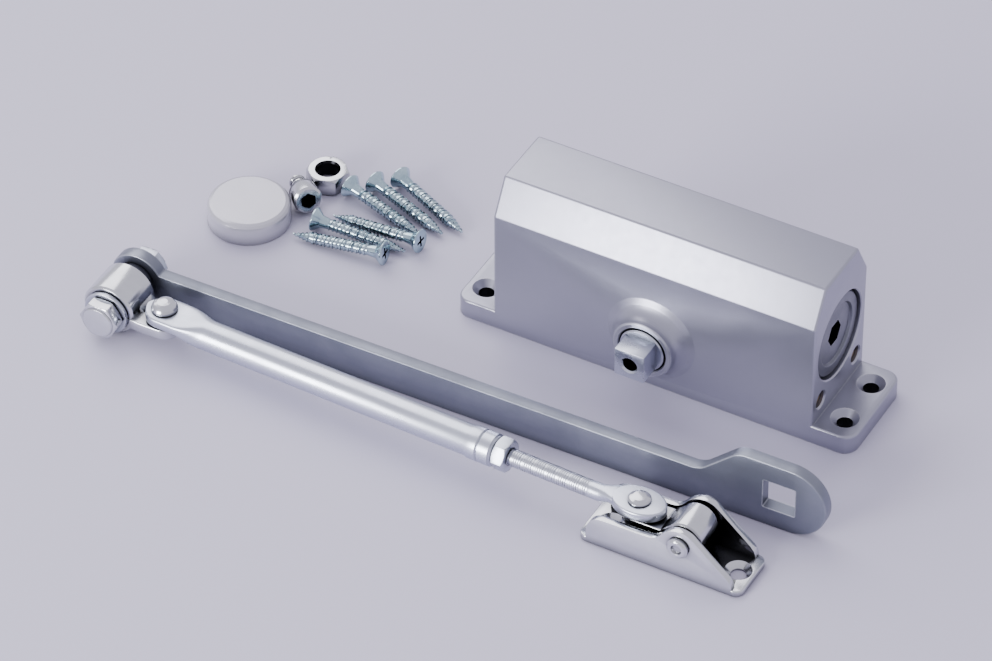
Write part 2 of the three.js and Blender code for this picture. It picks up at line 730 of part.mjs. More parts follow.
// The foot's own frame: the foot pin's axis is Y, through its origin.
function makeSwivel() {
  const barrel = bar('y', 6, -6, 6, [0, 0], 28);
  const block = uprightPlate(shapeOf([
    [-11, -3.5], [0, -6], [0, 6], [-3, 5.2], [-8.5, 0.2], [-8.5, -0.2], [-11, -0.2],
  ]), -5.6, 5.6);
  const tongue = new THREE.Shape();
  tongue.absarc(-FOOT_RIVET_REACH, 0, 5.6, Math.PI / 2, 1.5 * Math.PI);
  tongue.lineTo(-9, -5.6);
  tongue.lineTo(-9, 5.6);
  const tonguePlate = flatPlate(tongue, -3.5, -0.2, 8);
  const pinHole = bar('y', PIN_RADIUS + RUNNING_GAP, -8, 8, [0, 0], 24);
  const rivetHole = bar('z', 2.8, -6, 2, [-FOOT_RIVET_REACH, 0], 20);
  return cut(join(barrel, block, tonguePlate), pinHole, rivetHole);
}

function makeFootRivet() {
  const profile = [
    [0, -5.1],
    [3.3, -5.1],
    [3.7, -4.7],
    [3.7, -3.8],
    [2.5, -3.8],
    [2.5, 3.9],
    [3.9, 3.9],
    [3.7, 4.7],
    [2.4, 5.3],
    [0, 5.5],
  ];
  return turned('z', profile, [-FOOT_RIVET_REACH, 0], 24);
}

function makeFootBracket() {
  const floor = -FOOT_PIN.z;
  const half = FOOT_WIDTH / 2;
  const outline = roundedRectangle(FOOT_LEFT, FOOT_RIGHT, -half, half, FOOT_CORNER);
  const base = flatPlate(outline, floor, floor + FOOT_SHEET, 5);
  const wallLeft = FOOT_LEFT + FOOT_CORNER;
  const ear = new THREE.Shape();
  ear.moveTo(wallLeft, floor);
  ear.lineTo(wallLeft, -7.5);
  ear.quadraticCurveTo(wallLeft + 0.8, -1.5, wallLeft + 6, -1.2);
  ear.lineTo(-12, -0.9);
  ear.quadraticCurveTo(-8.4, -0.7, -6.6, 1.9);
  ear.quadraticCurveTo(-3.9, 6, 0.2, 6);
  ear.quadraticCurveTo(3, 6, 5, 4.2);
  ear.lineTo(17, floor + 6.5);
  ear.quadraticCurveTo(18.6, floor + 5, 18.8, floor + 2.6);
  ear.lineTo(18.8, floor);
  const ears = [
    uprightPlate(ear, -half, -half + FOOT_EAR_SHEET, 5),
    uprightPlate(ear, half - FOOT_EAR_SHEET, half, 5),
  ];
  const tools = [bar('y', PIN_RADIUS + RUNNING_GAP, -half - 1, half + 1, [0, 0], 24)];
  for (const x of [FOOT_HOLE_LEFT, FOOT_HOLE_RIGHT]) {
    tools.push(bar('z', 2.6, floor - 1, floor + FOOT_SHEET + 1, [x, 0], 20));
    tools.push(bar('z', 2.6, floor + 0.6, floor + FOOT_SHEET + 0.01, [x, 0], 20, 4.5));
  }
  return cut(join(base, ...ears), ...tools);
}

function makeFootPin() {
  const half = FOOT_WIDTH / 2;
  const profile = [
    [0, -half - 1],
    [1.5, -half - 1],
    [1.9, -half - 1.9],
    [2.9, -half - 1.9],
    [3.7, -half - 1.2],
    [3.7, -half - GAP],
    [PIN_RADIUS, -half - GAP],
    [PIN_RADIUS, half + 0.6],
    [1.9, half + 0.6],
    [1.9, half + 2],
    [PIN_RADIUS, half + 2],
    [PIN_RADIUS - 0.5, half + 2.8],
    [0, half + 2.8],
  ];
  return turned('y', profile, [0, 0], 24);
}

function makePinClip() {
  const half = FOOT_WIDTH / 2;
  const clip = ring('y', 2.1, 4.6, half + 0.8, half + 1.8, [0, 0], 24);
  return cut(clip, box(-1.5, 1.5, half, half + 3, -6, 0));
}

// ---------- loose pieces ----------

function makeSpindleCap() {
  const wall = 1.3;
  const profile = [
    [CAP_RADIUS, 0],
    [CAP_RADIUS, CAP_HEIGHT - 1.6],
    [CAP_RADIUS - 0.5, CAP_HEIGHT - 0.6],
    [CAP_RADIUS - 1.8, CAP_HEIGHT],
    [0, CAP_HEIGHT],
  ];
  const inner = [
    [0, CAP_HEIGHT - wall],
    [CAP_RADIUS - wall, CAP_HEIGHT - wall],
    [CAP_RADIUS - wall, 0],
  ];
  return turned('z', [...inner.slice(0, 1), ...inner.slice(1), ...profile], [0, 0], 40);
}

function makeFixingScrew() {
  const taper = 7;
  const profile = [
    [0, 0],
    [SCREW_HEAD_RADIUS, 0],
    [SCREW_HEAD_RADIUS, 0.5],
    [SCREW_RADIUS, 2.9],
    [SCREW_RADIUS, SCREW_LENGTH - taper],
    [0.4, SCREW_LENGTH - 0.2],
    [0, SCREW_LENGTH],
  ];
  return turned('x', profile, [0, 0], 16);
}

function makeSpindleScrew() {
  const profile = [
    [0, 0],
    [4.5, 0],
    [5, 0.6],
    [5, 6],
    [2.9, 6],
    [2.9, 15.2],
    [2.2, 16],
    [0, 16],
  ];
  const screw = turned('x', profile, [0, 0], 24);
  return cut(screw, bar('x', 5 / Math.sqrt(3), -1, 3.6, [0, 0], 6));
}

function makeSpringWasher() {
  const washer = ring('x', 3.1, 4.8, 6.3, 7.6, [0, 0], 24);
  return cut(washer, box(5, 9, -0.5, 0.5, 0, 6));
}

function makeLooseNut() {
  const height = 6.5;
  const radius = 13 / Math.sqrt(3);
  const blank = bar('z', radius, 0, height, [0, 0], 6);
  const profile = [
    [0, 0],
    [6.6, 0],
    [radius, 0.9],
    [radius, height - 0.9],
    [6.6, height],
    [0, height],
  ];
  const chamfered = common(blank, turned('z', profile, [0, 0], 30));
  return cut(chamfered, bar('z', 3.9, -1, height + 1, [0, 0], 24));
}

// ---------- assembly ----------

const door_closer = new THREE.Group();
door_closer.name = 'door_closer';

function addTo(group, ...pieces) {
  group.add(...pieces);
  return group;
}

addTo(
  door_closer,
  piece('housing', makeHousing(), silverPaint),
  piece('end_plug_right', makeEndPlug(1), toolSteel),
  piece('end_plug_left', makeEndPlug(-1), toolSteel),
  piece('plug_seal_right', makePlugSeal(1), rubber),
  piece('plug_seal_left', makePlugSeal(-1), rubber),
  piece('valve_screw_closing', makeValveScrew(-1), bronze),
  piece('valve_screw_latching', makeValveScrew(1), bronze),
  piece('valve_seal_closing', makeValveSeal(-1), rubber),
  piece('valve_seal_latching', makeValveSeal(1), rubber),
  piece('pinion_shaft', makePinionShaft(), brightSteel),
  piece('spindle_bush_front', makeBush(-1), bronze),
  piece('spindle_bush_rear', makeBush(1), bronze),
  piece('spindle_seal_front', makeSpindleSeal(-1), rubber),
  piece('spindle_seal_rear', makeSpindleSeal(1), rubber),
  piece('gland_nut', makeGlandNut(), silverPaint),
  piece('rack_piston', makePiston(), toolSteel),
  piece('piston_ring', makePistonRing(), rubber),
  piece('check_valve_ball', makeCheckBall(), brightSteel),
  piece('check_valve_retainer', makeCheckRetainer(), bronze),
  piece('closing_spring', makeSpring(), springSteel),
  piece('spring_seat', makeSpringSeat(), toolSteel),
);

const mainArmGroup = new THREE.Group();
mainArmGroup.position.copy(ELBOW);
mainArmGroup.rotation.z = MAIN_ARM_YAW;
addTo(
  mainArmGroup,
  piece('main_arm', makeMainArm(), armZinc),
  piece('elbow_spacer', makeElbowSpacer(), toolSteel),
  piece('elbow_bolt', makeElbowBolt(), chrome),
  piece('elbow_washer', makeElbowWasher(), brightSteel),
  piece('elbow_nut', makeElbowNut(), brightSteel),
);
door_closer.add(mainArmGroup);

// The line from the elbow rivet to the foot rivet sets the forearm's yaw and pitch.
function elbowRivetPoint() {
  const offset = new THREE.Vector3(ELBOW_RIVET_X, ELBOW_RIVET_Y, 0);
  return offset.applyAxisAngle(new THREE.Vector3(0, 0, 1), MAIN_ARM_YAW).add(ELBOW);
}

function footRivetPoint() {
  return FOOT_PIN.clone().add(new THREE.Vector3(-FOOT_RIVET_REACH, 0, 0));
}

const forearmLine = footRivetPoint().sub(elbowRivetPoint());
const forearmYaw = Math.atan2(forearmLine.y, forearmLine.x);
const forearmPitch = Math.atan2(forearmLine.z, Math.hypot(forearmLine.x, forearmLine.y));

addTo(
  mainArmGroup,
  piece('elbow_knuckle', makeKnuckle(), chrome),
  piece('elbow_bush', makeElbowBush(), bronze),
);

const forearmGroup = new THREE.Group();
forearmGroup.position.copy(elbowRivetPoint());
forearmGroup.rotation.set(0, -forearmPitch, forearmYaw, 'ZYX');
addTo(
  forearmGroup,
  piece('forearm_tube', makeForearmTube(), brightSteel),
  piece('elbow_rivet', makeElbowRivet(), chrome),
  piece('threaded_rod', makeThreadedRod(), brightSteel),
  piece('lock_nut', makeLockNut(), brightSteel),
);
door_closer.add(forearmGroup);

const footGroup = new THREE.Group();
footGroup.position.copy(FOOT_PIN);
addTo(
  footGroup,
  piece('foot_swivel', makeSwivel(), chrome),
  piece('foot_rivet', makeFootRivet(), chrome),
  piece('foot_bracket', makeFootBracket(), chrome),
  piece('foot_pin', makeFootPin(), chrome),
  piece('pin_clip', makePinClip(), toolSteel),
);
door_closer.add(footGroup);

const cap = piece('spindle_cap', makeSpindleCap(), satinPlastic);
cap.position.set(CAP_CENTRE[0], CAP_CENTRE[1], 0);
door_closer.add(cap);

const screwSet = new THREE.Group();
screwSet.position.set(-140.2, 1.1, 6.36);
screwSet.rotation.set(0, THREE.MathUtils.degToRad(12.5), THREE.MathUtils.degToRad(136), 'ZYX');
addTo(
  screwSet,
  piece('spindle_screw', makeSpindleScrew(), chrome),
  piece('spring_washer', makeSpringWasher(), toolSteel),
);
door_closer.add(screwSet);

const nut = piece('loose_nut', makeLooseNut(), chrome);
nut.position.set(-143, 18.7, 0);
nut.rotation.z = 0.35;
door_closer.add(nut);

// Each fixing screw lies on the rim of its head and on its point: the place of the middle of
// its head face, and the heading of its point.
const fixingScrews = [
  [-105.5, -8, 186],
  [-135.2, -4, 5],
  [-98.2, 3.2, 180],
  [-133.6, 16.8, -14.7],
  [-127.3, 22.7, -17.3],
  [-121, 29, -21.5],
];
fixingScrews.forEach(([x, y, heading], index) => {
  const screw = piece(`fixing_screw_${index + 1}`, makeFixingScrew(), blueZinc);
  const lean = Math.asin((SCREW_HEAD_RADIUS - SCREW_RADIUS) / (SCREW_LENGTH - 9));
  screw.position.set(x, y, SCREW_HEAD_RADIUS + 0.2);
  screw.rotation.set(0, lean, THREE.MathUtils.degToRad(heading), 'ZYX');
  door_closer.add(screw);
});

export default door_closer;
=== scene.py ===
import math

import bmesh
import bpy
from mathutils import Euler, Matrix, Vector


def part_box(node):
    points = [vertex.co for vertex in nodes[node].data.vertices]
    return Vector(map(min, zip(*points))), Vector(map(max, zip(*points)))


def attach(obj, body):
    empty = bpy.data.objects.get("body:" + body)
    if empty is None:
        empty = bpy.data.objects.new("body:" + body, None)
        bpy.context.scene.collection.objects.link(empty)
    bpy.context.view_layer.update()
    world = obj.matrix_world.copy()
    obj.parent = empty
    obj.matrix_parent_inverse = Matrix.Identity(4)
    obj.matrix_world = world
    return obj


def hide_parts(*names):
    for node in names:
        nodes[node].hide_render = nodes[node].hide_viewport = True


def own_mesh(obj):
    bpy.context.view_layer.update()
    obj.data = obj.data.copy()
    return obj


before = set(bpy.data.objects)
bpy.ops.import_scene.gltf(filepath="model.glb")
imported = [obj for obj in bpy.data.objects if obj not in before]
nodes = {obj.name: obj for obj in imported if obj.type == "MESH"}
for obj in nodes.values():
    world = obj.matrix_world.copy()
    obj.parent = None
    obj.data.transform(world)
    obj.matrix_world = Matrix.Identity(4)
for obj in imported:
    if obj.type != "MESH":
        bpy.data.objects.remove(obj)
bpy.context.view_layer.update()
print("frame loaded:", len(nodes), "nodes")


# camera
cameraSetup = {"azimuth": 28.978, "elevation": 41.297, "distance": 2.0, "lens": 221.5,
               "aimRight": -0.05925, "aimUp": 0.00679}


def placeCamera(setup):
    a, e = math.radians(setup["azimuth"]), math.radians(setup["elevation"])
    right = Vector((math.cos(a), math.sin(a), 0))
    up = Vector((-math.sin(a) * math.sin(e), math.cos(a) * math.sin(e), math.cos(e)))
    back = right.cross(up)
    data = bpy.data.cameras.new("kitCamera")
    data.lens = setup["lens"]
    data.sensor_width = 36
    data.clip_end = 20
    cam = bpy.data.objects.new("kitCamera", data)
    bpy.context.scene.collection.objects.link(cam)
    spot = right * setup["aimRight"] + up * setup["aimUp"] + back * setup["distance"]
    turn = Matrix((right, up, back)).transposed().to_4x4()
    cam.matrix_world = Matrix.Translation(spot) @ turn
    bpy.context.scene.camera = cam


placeCamera(cameraSetup)
print("camera placed")


# shared shader groups
def startGroup(name, inputs, outputs):
    tree = bpy.data.node_groups.new(name, "ShaderNodeTree")
    for label, kind, value in inputs:
        tree.interface.new_socket(name=label, in_out="INPUT", socket_type=kind).default_value = value
    for label, kind in outputs:
        tree.interface.new_socket(name=label, in_out="OUTPUT", socket_type=kind)
    return tree, tree.nodes.new("NodeGroupInput"), tree.nodes.new("NodeGroupOutput")


def addNode(tree, kind, settings=None, **values):
    node = tree.nodes.new(kind)
    for key, value in (settings or {}).items():
        setattr(node, key, value)
    for key, value in values.items():
        node.inputs[key.replace("_", " ")].default_value = value
    return node


def addMath(tree, operation, a, b=None, clamp=False):
    node = tree.nodes.new("ShaderNodeMath")
    node.operation = operation
    node.use_clamp = clamp
    for i, value in enumerate((a, b)):
        if value is None:
            continue
        if isinstance(value, (int, float)):
            node.inputs[i].default_value = value
        else:
            tree.links.new(value, node.inputs[i])
    return node.outputs[0]


def addNoise(tree, scale, **values):
    # noise on the piece's own coordinates
    coords = addNode(tree, "ShaderNodeTexCoord")
    noise = addNode(tree, "ShaderNodeTexNoise", **values)
    tree.links.new(coords.outputs["Object"], noise.inputs["Vector"])
    tree.links.new(scale, noise.inputs["Scale"])
    return noise.outputs[0]


def buildEdgeWearAndHighlight():
    # worn edges with a painted highlight on them: where a rounded normal leaves the true one, broken up by
    # noise
    tree, start, end = startGroup(
        "edgeWearAndHighlight",
        [("Radius", "NodeSocketFloat", 0.0006), ("Gain", "NodeSocketFloat", 6.0),
         ("Breakup Scale", "NodeSocketFloat", 300.0)],
        [("Mask", "NodeSocketFloat")])
    link = tree.links.new
    bevel = addNode(tree, "ShaderNodeBevel", {"samples": 4})
    link(start.outputs["Radius"], bevel.inputs["Radius"])
    geometry = addNode(tree, "ShaderNodeNewGeometry")
    dot = addNode(tree, "ShaderNodeVectorMath", {"operation": "DOT_PRODUCT"})
    link(bevel.outputs[0], dot.inputs[0])
    link(geometry.outputs["Normal"], dot.inputs[1])
    bend = addMath(tree, "SUBTRACT", 1.0, dot.outputs["Value"])
    gained = addMath(tree, "MULTIPLY", bend, start.outputs["Gain"], clamp=True)
    noise = addNoise(tree, start.outputs["Breakup Scale"], Detail=4.0)
    broken = addMath(tree, "MULTIPLY", noise, 1.7, clamp=True)
    link(addMath(tree, "MULTIPLY", gained, broken, clamp=True), end.inputs["Mask"])
    return tree


def buildGrain():
    # directional grain: noise drawn out along one axis, with a softer copy for colour
    tree, start, end = startGroup(
        "metalGrain",
        [("Stretch", "NodeSocketVector", (1.0, 1.0, 1.0)), ("Scale", "NodeSocketFloat", 900.0),
         ("Detail", "NodeSocketFloat", 3.0)],
        [("Height", "NodeSocketFloat"), ("Streaks", "NodeSocketFloat")])
    link = tree.links.new
    coords = addNode(tree, "ShaderNodeTexCoord")
    spread = addNode(tree, "ShaderNodeVectorMath", {"operation": "MULTIPLY"})
    link(coords.outputs["Object"], spread.inputs[0])
    link(start.outputs["Stretch"], spread.inputs[1])
    fine = addNode(tree, "ShaderNodeTexNoise")
    link(spread.outputs[0], fine.inputs["Vector"])
    link(start.outputs["Scale"], fine.inputs["Scale"])
    link(start.outputs["Detail"], fine.inputs["Detail"])
    coarse = addNode(tree, "ShaderNodeTexNoise", Detail=2.0)
    link(spread.outputs[0], coarse.inputs["Vector"])
    link(addMath(tree, "MULTIPLY", start.outputs["Scale"], 0.22), coarse.inputs["Scale"])
    link(fine.outputs[0], end.inputs["Height"])
    link(coarse.outputs[0], end.inputs["Streaks"])
    return tree


def buildBlotches():
    # slow variation of handling marks and plating thickness
    tree, start, end = startGroup(
        "blotches",
        [("Scale", "NodeSocketFloat", 60.0), ("Contrast", "NodeSocketFloat", 2.0)],
        [("Mask", "NodeSocketFloat")])
    noise = addNoise(tree, start.outputs["Scale"], Detail=5.0, Roughness=0.6, Distortion=0.4)
    centred = addMath(tree, "SUBTRACT", noise, 0.5)
    spread = addMath(tree, "MULTIPLY", centred, start.outputs["Contrast"])
    tree.links.new(addMath(tree, "ADD", spread, 0.5, clamp=True), end.inputs["Mask"])
    return tree


def buildDust():
    # thin dust that settles on faces that look up
    tree, start, end = startGroup(
        "settledDust",
        [("Amount", "NodeSocketFloat", 0.2), ("Scale", "NodeSocketFloat", 250.0)],
        [("Mask", "NodeSocketFloat")])
    link = tree.links.new
    geometry = addNode(tree, "ShaderNodeNewGeometry")
    split = addNode(tree, "ShaderNodeSeparateXYZ")
    link(geometry.outputs["Normal"], split.inputs[0])
    upward = addMath(tree, "MULTIPLY", split.outputs["Z"], 1.3, clamp=True)
    noise = addNoise(tree, start.outputs["Scale"], Detail=8.0, Roughness=0.7)
    patch = addMath(tree, "MULTIPLY", upward, noise)
    link(addMath(tree, "MULTIPLY", patch, start.outputs["Amount"], clamp=True), end.inputs["Mask"])
    return tree


def buildCreviceShade():
    # painted shade where faces meet: darker by the share of nearby space that is closed in
    tree, start, end = startGroup(
        "creviceShadeGroup",
        [("Reach", "NodeSocketFloat", 0.003), ("Gain", "NodeSocketFloat", 1.4)],
        [("Mask", "NodeSocketFloat")])
    link = tree.links.new
    closed = addNode(tree, "ShaderNodeAmbientOcclusion", {"samples": 6})
    link(start.outputs["Reach"], closed.inputs["Distance"])
    shut = addMath(tree, "SUBTRACT", 1.0, closed.outputs["AO"])
    link(addMath(tree, "MULTIPLY", shut, start.outputs["Gain"], clamp=True), end.inputs["Mask"])
    return tree


creviceShadeGroup = buildCreviceShade()
edgeWearAndHighlight = buildEdgeWearAndHighlight()
metalGrain = buildGrain()
blotches = buildBlotches()
settledDust = buildDust()

# what most finishes share: metal share, grain direction (a small number draws the grain out along that
# axis) and depth, the spread of blotches, worn edges with a painted highlight, dust, painted shade in
# creases and clear coat
usualFinish = {
    "metallic": 1.0, "stretch": (1, 1, 1), "depth": 0.00004, "bump": 0.3, "contrast": 2.0, "wearAndHighlight": 4.0,
    "wearAndHighlightRadius": 0.0004, "dust": 0.05, "paintedShade": 1.1, "coat": 0.0, "coatRoughness": 0.1}

# every finish: main and second colour, the colour at worn edges, which is partly a painted highlight, gloss
# and its spread
finishes = {
    "silverPaint": {
        "colour": (0.38, 0.38, 0.455), "second": (0.35, 0.35, 0.425), "edge": (0.72, 0.72, 0.76),
        "metallic": 0.84, "gloss": (0.29, 0.36), "scale": 1500, "depth": 0.00006, "bump": 0.1,
        "blotch": 45, "contrast": 1.0, "wearAndHighlight": 5.0, "wearAndHighlightRadius": 0.0008, "paintedShade": 0.5, "coat": 0.15,
        "coatRoughness": 0.2},
    "darkZinc": {
        "colour": (0.25, 0.265, 0.32), "second": (0.19, 0.205, 0.255), "edge": (0.85, 0.87, 0.92),
        "metallic": 0.85, "gloss": (0.3, 0.44), "stretch": (0.12, 1, 1), "scale": 1400, "blotch": 70,
        "contrast": 2.2, "wearAndHighlight": 7.0, "wearAndHighlightRadius": 0.0006, "dust": 0.08, "coatRoughness": 0.2},
    "chromePlate": {
        "colour": (0.76, 0.77, 0.8), "second": (0.62, 0.63, 0.67), "edge": (0.85, 0.86, 0.88),
        "gloss": (0.1, 0.22), "scale": 900, "depth": 0.00002, "bump": 0.15, "blotch": 110,
        "contrast": 1.8, "paintedShade": 1.5},
    "brightSteel": {
        "colour": (0.68, 0.71, 0.81), "second": (0.59, 0.62, 0.71), "edge": (0.82, 0.83, 0.86),
        "gloss": (0.22, 0.34), "stretch": (0.06, 1, 1), "scale": 1600, "depth": 0.00003, "blotch": 80},
    "blueZinc": {
        "colour": (0.62, 0.76, 0.82), "second": (0.32, 0.46, 0.53), "edge": (0.8, 0.88, 0.92),
        "gloss": (0.1, 0.2), "scale": 900, "depth": 0.00003, "bump": 0.2, "blotch": 160, "contrast": 2.4,
        "wearAndHighlightRadius": 0.0003, "dust": 0.03},
    "machinedSteel": {
        "colour": (0.22, 0.225, 0.26), "second": (0.15, 0.155, 0.19), "edge": (0.6, 0.61, 0.64),
        "metallic": 0.95, "gloss": (0.28, 0.42), "stretch": (0.1, 1, 1), "scale": 1200, "bump": 0.35,
        "blotch": 90},
    "springSteel": {
        "colour": (0.2, 0.21, 0.24), "second": (0.14, 0.15, 0.18), "edge": (0.4, 0.41, 0.44),
        "metallic": 0.95, "gloss": (0.25, 0.4), "scale": 1200, "bump": 0.25, "blotch": 120, "wearAndHighlight": 3.0,
        "wearAndHighlightRadius": 0.0003, "dust": 0.0, "coat": 0.3, "coatRoughness": 0.15},
    "bronze": {
        "colour": (0.5, 0.35, 0.18), "second": (0.38, 0.25, 0.12), "edge": (0.72, 0.56, 0.34),
        "metallic": 0.95, "gloss": (0.28, 0.45), "scale": 2200, "blotch": 150, "wearAndHighlightRadius": 0.0003,
        "dust": 0.02},
    "blackRubber": {
        "colour": (0.02, 0.02, 0.024), "second": (0.035, 0.035, 0.04), "edge": (0.06, 0.06, 0.065),
        "metallic": 0.0, "gloss": (0.5, 0.7), "scale": 2600, "blotch": 200, "wearAndHighlight": 2.0,
        "wearAndHighlightRadius": 0.0003, "dust": 0.1},
    "capPlastic": {
        "colour": (0.56, 0.55, 0.62), "second": (0.52, 0.51, 0.58), "edge": (0.72, 0.71, 0.74),
        "metallic": 0.35, "gloss": (0.16, 0.26), "scale": 700, "depth": 0.00003, "bump": 0.12,
        "blotch": 70, "contrast": 1.5, "wearAndHighlight": 3.0, "wearAndHighlightRadius": 0.0006, "dust": 0.04, "coat": 0.4,
        "coatRoughness": 0.12},
}


# shares that every finish keeps
finishShares = {"streaks": 0.35, "streakGloss": 0.08, "glossStart": -0.04, "dustColour": (0.5, 0.49, 0.5),
                "paintedShadeReach": 0.004, "paintedShadeDark": 0.16, "paintedHoleShadeColour": (0.012, 0.012, 0.014)}


def makeFinish(name, look, shares):
    material = bpy.data.materials.new(name)
    material.use_nodes = True
    tree = material.node_tree
    link = tree.links.new
    shader = tree.nodes["Principled BSDF"]
    shader.inputs["Coat Roughness"].default_value = look["coatRoughness"]
    shader.inputs["Coat Weight"].default_value = look["coat"]
    shader.inputs["Metallic"].default_value = look["metallic"]

    def useGroup(group, **values):
        node = tree.nodes.new("ShaderNodeGroup")
        node.node_tree = group
        for key, value in values.items():
            node.inputs[key.replace("_", " ")].default_value = value
        return node

    def mixColour(mask, a, b):
        node = addNode(tree, "ShaderNodeMix", {"data_type": "RGBA"})
        link(mask, node.inputs[0])
        for socket, value in ((node.inputs[6], a), (node.inputs[7], b)):
            if isinstance(value, tuple):
                socket.default_value = (*value, 1)
            else:
                link(value, socket)
        return node.outputs[2]

    patches = useGroup(blotches, Scale=look["blotch"], Contrast=look["contrast"])
    grain = useGroup(metalGrain, Stretch=look["stretch"], Scale=look["scale"])
    wearAndHighlight = useGroup(edgeWearAndHighlight, Radius=look["wearAndHighlightRadius"], Gain=look["wearAndHighlight"])
    dust = useGroup(settledDust, Amount=look["dust"])
    paintedShade = useGroup(creviceShadeGroup, Reach=shares["paintedShadeReach"], Gain=look["paintedShade"])
    body = mixColour(patches.outputs["Mask"], look["colour"], look["second"])
    streaks = addMath(tree, "MULTIPLY", grain.outputs["Streaks"], shares["streaks"])
    streaked = mixColour(streaks, body, look["second"])
    # wear and painted highlight: edges take the lighter edge colour
    wornAndHighlit = mixColour(wearAndHighlight.outputs["Mask"], streaked, look["edge"])
    dusty = mixColour(dust.outputs["Mask"], wornAndHighlit, shares["dustColour"])
    # painted shade: creases take a darkened copy of the second colour
    dark = tuple(shares["paintedShadeDark"] * c for c in look["second"])
    paintedShaded = mixColour(paintedShade.outputs["Mask"], dusty, dark)
    # painted shade: faces marked by the shade attribute take a near-black colour
    inside = addNode(tree, "ShaderNodeAttribute", {"attribute_name": "shade"})
    link(mixColour(inside.outputs["Fac"], paintedShaded, shares["paintedHoleShadeColour"]), shader.inputs["Base Color"])
    low, high = look["gloss"]
    spread = addMath(tree, "MULTIPLY", patches.outputs["Mask"], high - low)
    streak = addMath(tree, "MULTIPLY", grain.outputs["Streaks"], shares["streakGloss"])
    gloss = addMath(tree, "ADD", addMath(tree, "ADD", spread, low + shares["glossStart"]), streak)
    link(addMath(tree, "ADD", gloss, dust.outputs["Mask"], clamp=True), shader.inputs["Roughness"])
    bump = addNode(tree, "ShaderNodeBump", Strength=look["bump"], Distance=look["depth"])
    link(grain.outputs["Height"], bump.inputs["Height"])
    link(bump.outputs[0], shader.inputs["Normal"])
    return material


materials = {name: makeFinish(name, {**usualFinish, **look}, finishShares) for name,
             look in finishes.items()}
print("finishes made:", len(materials))


# mesh tools, all in millimetres until a piece is placed
def newObject(name, mesh):
    obj = bpy.data.objects.new(name, mesh)
    bpy.context.scene.collection.objects.link(obj)
    return obj


def meshFrom(name, build):
    bm = bmesh.new()
    build(bm)
    bmesh.ops.remove_doubles(bm, verts=bm.verts, dist=1e-5)
    bmesh.ops.recalc_face_normals(bm, faces=bm.faces)
    mesh = bpy.data.meshes.new(name)
    bm.to_mesh(mesh)
    bm.free()
    return newObject(name, mesh)


def filleted(points, radius, steps=4, closed=True, only=None):
    # rounds the corners of an outline; only, where given, lists the corners to round
    result = []
    count = len(points)
    for i, point in enumerate(points):
        here = Vector(point)
        ends = not closed and i in (0, count - 1)
        if ends or (only is not None and i not in only):
            result.append(tuple(here))
            continue
        before, after = Vector(points[i - 1]), Vector(points[(i + 1) % count])
        inward, outward = before - here, after - here
        if inward.length < 1e-6 or outward.length < 1e-6:
            continue
        half = inward.angle(outward) / 2
        if half > math.radians(87):
            result.append(tuple(here))
            continue
        reach = min(radius / math.tan(half), 0.48 * inward.length, 0.48 * outward.length)
        size = reach * math.tan(half)
        middle = here + (inward.normalized() + outward.normalized()).normalized() * (size / math.sin(half))
        a = here + inward.normalized() * reach - middle
        b = here + outward.normalized() * reach - middle
        turn = a.angle_signed(b)
        for step in range(steps + 1):
            angle = -turn * step / steps
            c, s = math.cos(angle), math.sin(angle)
            result.append((middle.x + a.x * c - a.y * s, middle.y + a.x * s + a.y * c))
    return result


def circlePoints(radius, steps, centre=(0, 0), phase=0.0):
    return [(centre[0] + radius * math.cos(phase + 2 * math.pi * i / steps),
             centre[1] + radius * math.sin(phase + 2 * math.pi * i / steps)) for i in range(steps)]


def arcPoints(centre, radius, a0, a1, steps):
    return [(centre[0] + radius * math.cos(a0 + (a1 - a0) * i / steps),
             centre[1] + radius * math.sin(a0 + (a1 - a0) * i / steps)) for i in range(steps + 1)]


axisTurns = {
    "x": Matrix(((0, 0, 1, 0), (1, 0, 0, 0), (0, 1, 0, 0), (0, 0, 0, 1))),
    "y": Matrix(((0, 1, 0, 0), (0, 0, 1, 0), (1, 0, 0, 0), (0, 0, 0, 1))),
    "z": Matrix.Identity(4),
}


def turned(name, profile, axis="z", centre=(0, 0, 0), steps=72, soft=0.25):
    # a profile of (radius, height) spun round one axis; it may close on the axis or on itself
    onAxis = profile[0][0] < 1e-6
    points = filleted(profile, soft, 3, closed=not onAxis) if soft else profile

    def build(bm):
        rings = []
        for r, h in points:
            if r < 1e-6:
                rings.append([bm.verts.new((0, 0, h))])
            else:
                rings.append([bm.verts.new((x, y, h)) for x, y in circlePoints(r, steps)])
        pairs = list(zip(rings, rings[1:]))
        if not onAxis:
            pairs.append((rings[-1], rings[0]))
        for low, high in pairs:
            for i in range(steps):
                j = (i + 1) % steps
                corners = [low[i % len(low)], low[j % len(low)], high[j % len(high)], high[i % len(high)]]
                corners = list(dict.fromkeys(corners))
                if len(corners) > 2:
                    bm.faces.new(corners)

    obj = meshFrom(name, build)
    obj.data.transform(Matrix.Translation(centre) @ axisTurns[axis])
    return obj


def prism(name, outline, low, high, plane="xy"):
    # an outline in one plane, given thickness across it
    def spot(p, h):
        if plane == "xy":
            return (p[0], p[1], h)
        if plane == "xz":
            return (p[0], h, p[1])
        return (h, p[0], p[1])

    def build(bm):
        base = [bm.verts.new(spot(p, low)) for p in outline]
        top = [bm.verts.new(spot(p, high)) for p in outline]
        bm.faces.new(base)
        bm.faces.new(top[::-1])
        for i in range(len(outline)):
            j = (i + 1) % len(outline)
            bm.faces.new((base[i], base[j], top[j], top[i]))

    return meshFrom(name, build)


